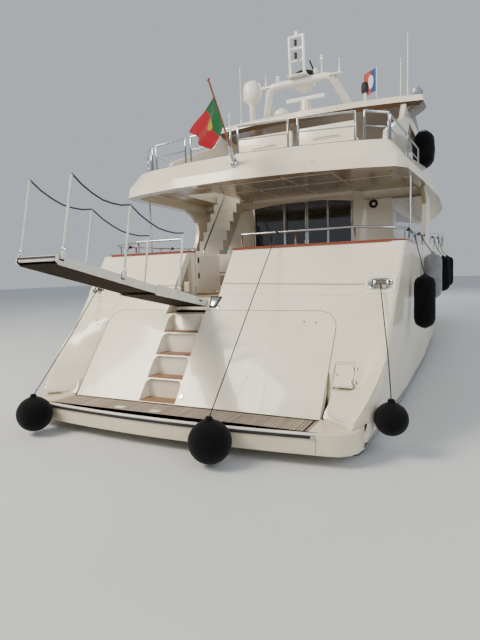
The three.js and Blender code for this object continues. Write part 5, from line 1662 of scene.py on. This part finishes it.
@dataclass
class Cushion:
    """A padded block, blown up by a cloth simulation from a smaller block, with a welt round its edge."""

    low: Coords
    high: Coords
    voxel: float = 0.014
    swell: float = 0.02
    pressure: float = 4.0
    steps: int = 20

    def build(self) -> Piece:
        """Models the cushion.

        Returns:
            The cushion.
        """
        low, high = Vector(self.low), Vector(self.high)
        inset = Vector((0.012, 0.012, 0.012))
        thin = min(high - low)
        made = block(low + inset, high - inset, thin * 0.3, 3)
        self.inflate(made)
        welt = self.welt(low + inset * 0.4, high - inset * 0.4)
        return merged("cushion", [smooth(made, 60.0), welt])

    def inflate(self, made: Piece) -> None:
        """Blows the cover up from inside and caps how far it moves.

        Args:
            made: The block to blow up.
        """
        modify(made, "REMESH", mode="VOXEL", voxel_size=self.voxel)
        before = [vertex.co.copy() for vertex in made.data.vertices]
        only(made)
        cloth = made.modifiers.new("cloth", "CLOTH")
        cloth.settings.use_pressure = True
        cloth.settings.uniform_pressure_force = self.pressure
        cloth.settings.effector_weights.gravity = 0.0
        cloth.point_cache.frame_start = 1
        cloth.point_cache.frame_end = self.steps
        for step in range(1, self.steps + 1):
            bpy.context.scene.frame_set(step)
        bpy.ops.object.modifier_apply(modifier=cloth.name)
        bpy.context.scene.frame_set(1)
        for vertex, start in zip(made.data.vertices, before):
            move = vertex.co - start
            if move.length > self.swell:
                vertex.co = start + move.normalized() * self.swell

    def welt(self, low: Vector, high: Vector) -> Piece:
        """Pipes the seam round the widest section of the cushion."""
        size = high - low
        axis = min(range(3), key=lambda i: size[i])
        u, v = [i for i in range(3) if i != axis]
        outline = rounded_rectangle(size[u] / 2, size[v] / 2, min(0.05, size[u] / 3, size[v] / 3))
        middle = (low + high) / 2
        points = []
        for a, b in outline:
            spot = middle.copy()
            spot[u] += a
            spot[v] += b
            points.append(spot)
        return pipe(points, 0.006, closed=True)

    @staticmethod
    def copies(first: Piece, shifts: Sequence[Coords]) -> list[Piece]:
        """Copies one cushion to more places, each copy with its own mesh.

        Args:
            first: The cushion.
            shifts: How far each copy moves.

        Returns:
            The cushion and its copies.
        """
        made = [first]
        for shift in shifts:
            other = first.copy()
            other.data = first.data.copy()
            bpy.context.scene.collection.objects.link(other)
            other.data.transform(Matrix.Translation(shift))
            made.append(other)
        return made


@dataclass
class Cockpit(Assembly):
    """Cockpit seat with its cushions, and two white deck chairs by the table."""

    seats: int = 3
    # middle across, middle along, turn in degrees
    chairs: tuple[tuple[float, float, float], ...] = ((-1.0, -8.85, 205.0), (-0.3, -8.6, 100.0))
    # the side tube's corners and the cross rails, along and up
    chair_side: Flats = ((-0.24, 0.0), (-0.22, 0.64), (0.26, 0.64), (0.24, 0.0))
    chair_rails: Flats = ((-0.22, 0.4), (0.22, 0.4), (0.296, 0.85), (-0.235, 0.12), (0.235, 0.12))
    chair_lean: float = -10.0
    sole: float = 2.1665
    # aft end, length, height and sag of the line on the bulwark
    wall_line_sizes: Coords = (-10.05, 0.75, 2.93, 0.34)

    def build(self) -> None:
        """Makes the cockpit's furniture."""
        low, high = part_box("cockpit_sofa")
        base = block((low.x, low.y + 0.16, low.z), (high.x, high.y, low.z + 0.28), 0.02)
        self.fit("sofa_base", [base], GELCOAT)
        pitch = (high.x - low.x) / self.seats
        start = low.x + 0.01
        end = start + pitch - 0.02
        seat = Cushion((start, low.y + 0.22, low.z + 0.28), (end, high.y - 0.01, low.z + 0.415))
        back = Cushion((start, low.y + 0.03, low.z + 0.3), (end, low.y + 0.21, high.z - 0.03))
        shifts = [(pitch * i, 0.0, 0.0) for i in range(1, self.seats)]
        cushions = Cushion.copies(seat.build(), shifts) + Cushion.copies(back.build(), shifts)
        self.fit("cockpit_cushions", cushions, LEATHER, replaces=["cockpit_sofa"])
        self.deck_chairs()
        self.wall_line()

    def deck_chairs(self) -> None:
        """Bends two chairs from white tube, with woven seats and backs."""
        for number, (x, y, turn) in enumerate(self.chairs):
            place = Matrix.Translation((x, y, self.sole)) @ Matrix.Rotation(math.radians(turn), 4, "Z")
            tubes = []
            for side in (-0.25, 0.25):
                tubes.append(pipe([(side, *spot) for spot in self.chair_side], 0.014, 0.06))
                tubes.append(pipe([(side, 0.22, 0.4), (side, 0.3, 0.86)], 0.014))
            for along, up in self.chair_rails:
                tubes.append(pipe([(-0.25, along, up), (0.25, along, up)], 0.012))
            seat = block((-0.24, -0.22, 0.395), (0.24, 0.22, 0.415), 0.008, 2)
            back = block((-0.24, -0.008, 0.0), (0.24, 0.008, 0.4), 0.006, 2)
            lean = Matrix.Rotation(math.radians(self.chair_lean), 4, "X")
            back.data.transform(Matrix.Translation((0.0, 0.235, 0.46)) @ lean)
            for name, pieces, finish in (("frame", tubes, WHITE), ("sling", [seat, back], SLING)):
                self.fit(f"chair_{name}_{number}", pieces, finish).data.transform(place)

    def wall_line(self) -> None:
        """Loops a thin line over two hooks inside the port bulwark."""
        hull = self.faces("hull")
        aft, length, height, sag = self.wall_line_sizes
        points = []
        for share in (i / 14 for i in range(15)):
            sight = (-1.4, aft + length * share, height - sag * math.sin(math.pi * share))
            spot, out = onto(hull, sight, (-1, 0, 0))
            points.append(spot + out * 0.006)
        self.fit("bulwark_line", [pipe(points, 0.005)], ROPE)


@dataclass
class Foredeck(Assembly):
    """Sunpad and windlass forward."""

    rows: int = 3
    row_pitch: float = 0.76
    half_width: float = 0.98
    narrower: float = 0.05
    capstans_x: Flat = (-0.33, 0.33)
    # radius and height of each point of a capstan
    capstan: Flats = (
        (0.0, 0.0), (0.11, 0.0), (0.115, 0.03), (0.08, 0.06), (0.065, 0.14), (0.08, 0.2), (0.108, 0.235),
        (0.108, 0.255), (0.05, 0.27), (0.0, 0.27),
    )

    def build(self) -> None:
        """Makes the foredeck's pieces."""
        low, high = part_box("foredeck_sunpad")
        pads = []
        for i in range(self.rows):
            half = self.half_width - self.narrower * i
            y = low.y + 0.03 + self.row_pitch * i
            first = Cushion((0.01, y, low.z), (half, y + 0.73, high.z - 0.005)).build()
            pads += Cushion.copies(first, [(-half - 0.01, 0.0, 0.0)])
        self.fit("sunpad_cushions", pads, LEATHER, replaces=["foredeck_sunpad"])
        self.windlass()

    def windlass(self) -> None:
        """Turns the capstans and their base plate."""
        low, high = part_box("windlass")
        parts = [turned(self.capstan, (x, 11.25, high.z - 0.272), 32) for x in self.capstans_x]
        parts.append(block((low.x, low.y, low.z), (high.x, high.y, high.z - 0.27), 0.015))
        self.fit("windlass_form", parts, STEEL, replaces=["windlass"])


@dataclass
class GateTrim(Assembly):
    """Dark latches on the stern gate."""

    latch_heights: Floats = (2.5, 2.82)

    def build(self) -> None:
        """Makes the gate's fittings."""
        low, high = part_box("stern_gate")
        x = (low.x + high.x) / 2
        pieces = []
        for z in self.latch_heights:
            pieces.append(block((x + 0.018, low.y + 0.05, z), (x + 0.03, low.y + 0.11, z + 0.12), 0.005))
            bolt = [(x + out, low.y + 0.08, z + 0.06) for out in (0.03, 0.045)]
            pieces.append(drum(*bolt, 0.018, 0.012, 20, 0.003))
        self.fit("gate_latches", pieces, RUBBER, Body.GATE)


@dataclass
class Fenders(Assembly):
    """Cylindrical fenders in knitted sleeves along the rails, and ball fenders at the stern."""

    rows: tuple[tuple[str, int], ...] = (("starboard", 4), ("port", 3))
    grey: str = "fender_starboard_2"
    # radius and height over the middle of each point of a sleeve
    profile: Flats = (
        (0.0, -0.485), (0.05, -0.484), (0.085, -0.465), (0.13, -0.44), (0.165, -0.395), (0.186, -0.32),
        (0.188, -0.16), (0.184, 0.0), (0.188, 0.16), (0.186, 0.32), (0.165, 0.395), (0.13, 0.43),
        (0.085, 0.448), (0.05, 0.47), (0.03, 0.485), (0.0, 0.486),
    )
    # solid, middle, radius, bend of its line on the way to a mooring port
    balls: tuple[tuple[str, Coords, float, Coords | None], ...] = (
        ("fender_ball_port", (-2.35, -13.4539, 0.35), 0.29, (-2.625, -12.275, 1.5)),
        ("fender_ball_centre", (1.08, -13.5734, 0.34), 0.3, None),
        ("fender_ball_starboard", (3.2599, -12.4, 0.54), 0.23, (3.175, -12.07, 1.25)),
    )
    port_spot: Flat = (2.9, 2.34)
    mouth: Flat = (0.06, -0.1)
    centre_end: Coords = (0.89, -10.4405, 3.322)
    hang_x: float = 3.44
    line_radius: float = 0.009
    rail_radius: float = 0.021
    stern_rail: Coords = (0.89, -10.4135, 3.33)

    def build(self) -> None:
        """Makes every fender."""
        for node in (f"fender_{side}_{i + 1}" for side, count in self.rows for i in range(count)):
            self.cylinder(node, GREY_COVER if node == self.grey else COVER)
        for row in self.balls:
            self.ball(*row)

    def cylinder(self, node: str, finish: Finish) -> None:
        """Hangs one cylindrical fender on its lanyard, with its gathered ends and its hitch.

        Args:
            node: The solid that they stand for.
            finish: The sleeve's finish.
        """
        low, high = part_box(node)
        side = math.copysign(1.0, low.x)
        x, y, z = side * self.hang_x, (low.y + high.y) / 2, low.z + 0.485
        body = turned(self.profile, (x, y, z), 36, 60.0)
        tie = pipe([(x, y, z - 0.47), (x + 0.01, y, z - 0.5), (x + 0.015, y + 0.01, z - 0.484)], 0.009)
        self.fit(f"{node}_cover", [body, tie], finish, replaces=[node])
        rail_x = math.copysign(min(abs(low.x), abs(high.x)) + 0.036, low.x)
        top = high.z - 0.036
        points = [(x, y, z + 0.47), (side * 3.275, y, 3.12), (rail_x + side * 0.036, y, top)]
        line = pipe(points, self.line_radius, 0.05)
        loop = [(x - 0.05, y, z + 0.4), (x - 0.035, y, z + 0.47), (x, y, z + 0.52), (x + 0.035, y, z + 0.47),
                (x + 0.05, y, z + 0.4)]
        eye = pipe(loop, self.line_radius, 0.03)
        pieces = [line, eye, *self.hitch((rail_x, y, top))]
        self.fit(f"{node}_lanyard", pieces, ROPE)

    def hitch(self, spot: Coords, across: bool = False) -> list[Piece]:
        """Wraps three turns of line round a rail.

        Args:
            spot: Point on the rail's middle line.
            across: Whether the rail runs across the boat there.

        Returns:
            The turns.
        """
        reach = self.rail_radius + self.line_radius
        x, y, z = spot
        turns = []
        for shift in (-0.02, 0.0, 0.02):
            ring = []
            for i in range(16):
                angle = math.tau * i / 16
                u, w = reach * math.cos(angle), reach * math.sin(angle)
                ring.append((x + shift, y + u, z + w) if across else (x + u, y + shift, z + w))
            turns.append(pipe(ring, self.line_radius, closed=True))
        return turns

    def ball(self, node: str, middle: Coords, radius: float, bend: Coords | None) -> None:
        """Blows up one ball fender under its sleeve, gathered at the knot, and leads its line aboard.

        Args:
            node: The solid that they stand for.
            middle: Middle of the ball.
            radius: Its radius.
            bend: Point that its line passes, if it leads into a mooring port.
        """
        x, y, z = middle
        profile = [(0.0, -radius)]
        for i in range(1, 14):
            angle = -math.pi / 2 + math.pi * i / 15
            profile.append((radius * math.cos(angle), radius * math.sin(angle)))
        profile += [(radius * 0.24, radius * 0.985), (0.045, radius + 0.012), (0.04, radius + 0.045),
                    (0.0, radius + 0.05)]
        made = turned(profile, middle, 40, 60.0)
        for vertex in made.data.vertices:
            angle = math.atan2(vertex.co.y - y, vertex.co.x - x)
            rise = (vertex.co.z - z) / radius
            pucker = 1 - 0.035 * max(0.0, rise - 0.35) * (1 + math.cos(11 * angle))
            vertex.co.x = x + (vertex.co.x - x) * pucker
            vertex.co.y = y + (vertex.co.y - y) * pucker
        tie = [
            pipe([(x + 0.044 * math.cos(a), y + 0.044 * math.sin(a), z + radius + lift)
                               for a in (math.tau * i / 16 for i in range(16))], 0.008, closed=True)
            for lift in (0.012, 0.026)
        ]
        self.fit(f"{node}_cover", [made, *tie], COVER, replaces=[node])
        start = (x, y, z + radius + 0.02)
        if bend:
            across, up = self.port_spot
            inward = [PLANE.at(math.copysign(across, x), up, out).translation for out in self.mouth]
            pieces = [pipe([start, bend, *inward], self.line_radius, 0.05)]
        else:
            pieces = [pipe([start, self.centre_end], self.line_radius)]
            pieces += self.hitch(self.stern_rail, across=True)
        self.fit(f"{node}_line", pieces, ROPE)


@dataclass
class EnsignFlag(Assembly):
    """The ensign, hanging in soft folds from its staff."""

    hoist_top: Coords = (0.0, -11.1, 5.745)
    hoist_foot: Coords = (0.0, -10.76, 5.315)
    fly_top: Coords = (0.0, -11.95, 4.93)
    fly_foot: Coords = (0.0, -11.38, 4.76)
    flat: Flat = (0.6, 1.02)
    fold_depth: float = 0.055

    def build(self) -> None:
        """Lays a fine grid over the flag's outline and folds it."""
        made = grid(48, 28)
        corners = [Vector(p) for p in (self.hoist_foot, self.fly_foot, self.hoist_top, self.fly_top)]
        for vertex in made.data.vertices:
            u, v = (vertex.co.x + 1) / 2, (vertex.co.y + 1) / 2
            lower = corners[0].lerp(corners[1], u)
            upper = corners[2].lerp(corners[3], u)
            spot = lower.lerp(upper, v)
            spot.z -= 0.05 * math.sin(math.pi * u) * (1 - v)
            depth = self.fold_depth * min(1.0, u * 2.2)
            spot.x += depth * math.sin(2.6 * math.pi * v + 1.5 * u + 0.6) + 0.02 * math.sin(9 * u + 4 * v) * u
            vertex.co = spot
        made.data.update()
        cloth = smooth(modify(made, "SOLIDIFY", thickness=0.0015, offset=0.0), 80.0)
        self.fit("ensign_cloth", [cloth], ENSIGN, replaces=["ensign_flag"])


@dataclass
class BoardingPlank(Assembly):
    """Passerelle: enamelled side boards, a slatted underside, posts in steel shoes and hand ropes."""

    hinge: Coords = (0.0, -11.15, 2.01)
    slope: float = 12.9
    length: float = 3.72
    casing: float = 1.7
    boards_x: Flat = (-0.95, -0.2)
    posts: Floats = (1.08, 2.5, 3.64)
    post_inset: float = 0.014
    rope_height: float = 1.0685
    rope_radius: float = 0.012
    sag: float = 0.13
    sag_parts: Floats = (0.0, 0.55, 0.85, 1.0, 0.85, 0.55)
    slat_pitch: float = 0.058

    def place(self) -> Matrix:
        """Gives the frame along the plank: across, outboard, up."""
        tilt = math.radians(self.slope)
        outboard = Vector((0, -math.cos(tilt), math.sin(tilt)))
        above = Vector((0, math.sin(tilt), math.cos(tilt)))
        return framed(Vector((1, 0, 0)), outboard, above, Vector(self.hinge))

    def ropes(self) -> None:
        """Hangs the two hand ropes on the posts' tops."""
        x0, x1 = self.boards_x
        for name, x in (("port", x0 + self.post_inset), ("starboard", x1 - self.post_inset)):
            points = []
            for start, end in zip(self.posts, self.posts[1:]):
                for step, part in enumerate(self.sag_parts):
                    s = start + (end - start) * step / len(self.sag_parts)
                    points.append(self.place() @ Vector((x, s, self.rope_height - self.sag * part)))
            points.append(self.place() @ Vector((x, self.posts[-1], self.rope_height)))
            rope = pipe(points, self.rope_radius, sides=4)
            self.fit(f"hand_rope_{name}", [rope], ROPE, Body.PLANK, [f"passerelle_rope_{name}"])

    def under(self, s: float) -> float:
        """Gives the height of the side boards' lower edge, a little inside it, at one distance out."""
        if s < self.casing:
            return -0.034 - 0.067 * (s + 0.04) / 1.74
        return -0.074

    def build(self) -> None:
        """Makes the plank's pieces."""
        self.remade("passerelle", PLANK_ENAMEL_AND_SHADE, 35.0, 0.0)
        groups = (
            ("plank_deck", self.deck(), DECK_TEAK, None),
            ("plank_slats", self.slats(), UNDER_TEAK, None),
            ("plank_tip", self.tip(), WHITE, Slot.METAL),
            ("post_shoes", self.shoes(), STEEL, None),
            # the drain slots are thin black plates of painted shade
            ("plank_slot_shades", self.slots(), SHADOW, None),
        )
        for name, pieces, finish, slot in groups:
            self.fit(name, pieces, finish, Body.PLANK, slot=slot).data.transform(self.place())

    def deck(self) -> list[Piece]:
        """Lays the cross battens that are walked on."""
        x0, x1 = self.boards_x
        battens = []
        s = 0.0
        while s < self.length - 0.06:
            inside = 0.034 if s < self.casing else 0.068
            battens.append(
                block((x0 + inside, s, 0.0205), (x1 - inside, s + 0.05, 0.03), 0.003, 1)
            )
            s += 0.0587
        return battens

    def slats(self) -> list[Piece]:
        """Closes the underside with slats between the side boards, dark with painted shade."""
        x0, x1 = self.boards_x
        slats = []
        s = 0.03
        while s < self.length - 0.07:
            inside = 0.03 if s < self.casing - 0.05 else 0.06
            foot = self.under(s + self.slat_pitch / 2)
            slats.append(
                block((x0 + inside, s, foot), (x1 - inside, s + self.slat_pitch - 0.012, foot + 0.014),
                            0.003, 1)
            )
            s += self.slat_pitch
        return slats

    def tip(self) -> list[Piece]:
        """Rounds the outer end with a pale nosing over its roller."""
        x0, x1 = self.boards_x
        nose = block((x0 + 0.034, self.length - 0.07, -0.036), (x1 - 0.034, self.length - 0.004, 0.034),
                           0.026, 4)
        lip = block((x0 + 0.07, self.length - 0.16, 0.021), (x1 - 0.07, self.length - 0.06, 0.036), 0.006)
        return [nose, lip]

    def shoes(self) -> list[Piece]:
        """Clamps each post in a collar, with a shoe on the board and a thumb screw."""
        x0, x1 = self.boards_x
        made = []
        for at in self.posts:
            for x, out in ((x0 + self.post_inset, -1), (x1 - self.post_inset, 1)):
                made.append(drum((x, at, 0.088), (x, at, 0.135), 0.027, 0.023, 20, 0.003))
                made.append(drum((x, at, 0.11), (x + out * 0.05, at, 0.11), 0.011, None, 12, 0.003))
                edge = -out * 0.032 if at > self.casing else 0.0
                face = x + out * self.post_inset + edge
                made.append(
                    block((min(face, face + out * 0.007), at - 0.042, -0.03),
                                (max(face, face + out * 0.007), at + 0.042, 0.084), 0.003)
                )
                made.append(dome((x, at, 1.052), 0.019, 0.01, 16))
        return made

    def slots(self) -> list[Piece]:
        """Paints the shade of an oval drain slot, as a thin black plate, on each side board near the root."""
        outline = rounded_rectangle(0.055, 0.014, 0.0138)
        x0, x1 = self.boards_x
        made = []
        for x, turn in ((x1 + 0.0003, 90), (x0 - 0.0003, -90)):
            upright = Matrix.Rotation(math.radians(turn), 4, "Y")
            place = Matrix.Translation((x, 0.36, 0.02)) @ upright @ Matrix.Rotation(math.radians(90), 4, "Z")
            made.append(slab(outline, 0.0012, place, 0.0))
        return made


# ---- the studio -----------------------------------------------------------------------------------


@dataclass
class Studio:
    """Pale floor at the waterline, soft light and the camera at the photograph's angle."""

    yaw: float = 25.997
    pitch: float = 5.430
    roll: float = 1.8386
    eye: Coords = (4.27, -19.07, 2.57)
    lens: float = 27.28
    # name, place, aim, size, power
    lamps: tuple[tuple[str, Coords, Coords, float, float], ...] = (
        ("key", (-16.0, -26.0, 22.0), (0.0, -8.0, 3.0), 12.0, 11500.0),
        ("fill", (22.0, -22.0, 14.0), (0.0, -6.0, 3.0), 18.0, 2900.0),
        ("rim", (-6.0, 30.0, 26.0), (0.0, 0.0, 4.0), 18.0, 4500.0),
    )
    key_tint: str = "#fff3df"

    def camera(self) -> None:
        """Places the camera as the photograph's."""
        yaw, pitch, roll = (math.radians(v) for v in (self.yaw, self.pitch, self.roll))
        right = Vector((math.cos(yaw), math.sin(yaw), 0))
        level = Vector((-math.sin(yaw), math.cos(yaw), 0))
        ahead = level * math.cos(pitch) - Vector((0, 0, math.sin(pitch)))
        above = level * math.sin(pitch) + Vector((0, 0, math.cos(pitch)))
        axes = (
            right * math.cos(roll) - above * math.sin(roll),
            right * math.sin(roll) + above * math.cos(roll),
            -ahead,
            Vector(self.eye),
        )
        data = bpy.data.cameras.new("camera")
        data.lens = self.lens
        data.sensor_width = 36.0
        data.clip_end = 400.0
        made = linked("camera", data)
        made.matrix_world = framed(*axes)
        bpy.context.scene.camera = made

    def light(self) -> None:
        """Hangs the soft boxes and lights the room."""
        for name, place, aim, size, power in self.lamps:
            data = bpy.data.lights.new(name, "AREA")
            data.size = size
            data.energy = power
            data.color = linear(self.key_tint if name == "key" else "#ffffff")[:3]
            made = linked(name, data)
            made.location = place
            made.rotation_euler = (Vector(aim) - Vector(place)).to_track_quat("-Z", "Y").to_euler()
        world = bpy.data.worlds.new("studio")
        world.use_nodes = True
        back = world.node_tree.nodes["Background"]
        back.inputs["Color"].default_value = linear("#dfe6ee")
        back.inputs["Strength"].default_value = 0.66
        bpy.context.scene.world = world

    def floor(self) -> None:
        """Lays a plain pale floor at the waterline."""
        bpy.ops.mesh.primitive_plane_add(size=260, location=(0, 0, 0))
        made = merged("floor", [settle()])
        made.data.materials.append(FLOOR.material())


def main() -> None:
    """Builds the looks round the frame, piece by piece."""
    logging.basicConfig(level=logging.INFO, format="%(message)s")
    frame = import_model()
    bpy.ops.object.select_all(action="DESELECT")
    studio = Studio()
    studio.camera()
    plank = BoardingPlank(frame)
    plank.ropes()
    stern = (Forms(frame), SternPlatform(frame), Transom(frame), plank)
    decks = (SaloonScreen, Overhang, MastHead, UpperDeckFurniture, Cockpit, GateTrim, Foredeck)
    for builder in (*stern, *(kind(frame) for kind in decks), Fenders(frame), EnsignFlag(frame)):
        LOG.info("building %s", type(builder).__name__)
        builder.build()
    studio.light()
    studio.floor()


if __name__ == "__main__":
    main()
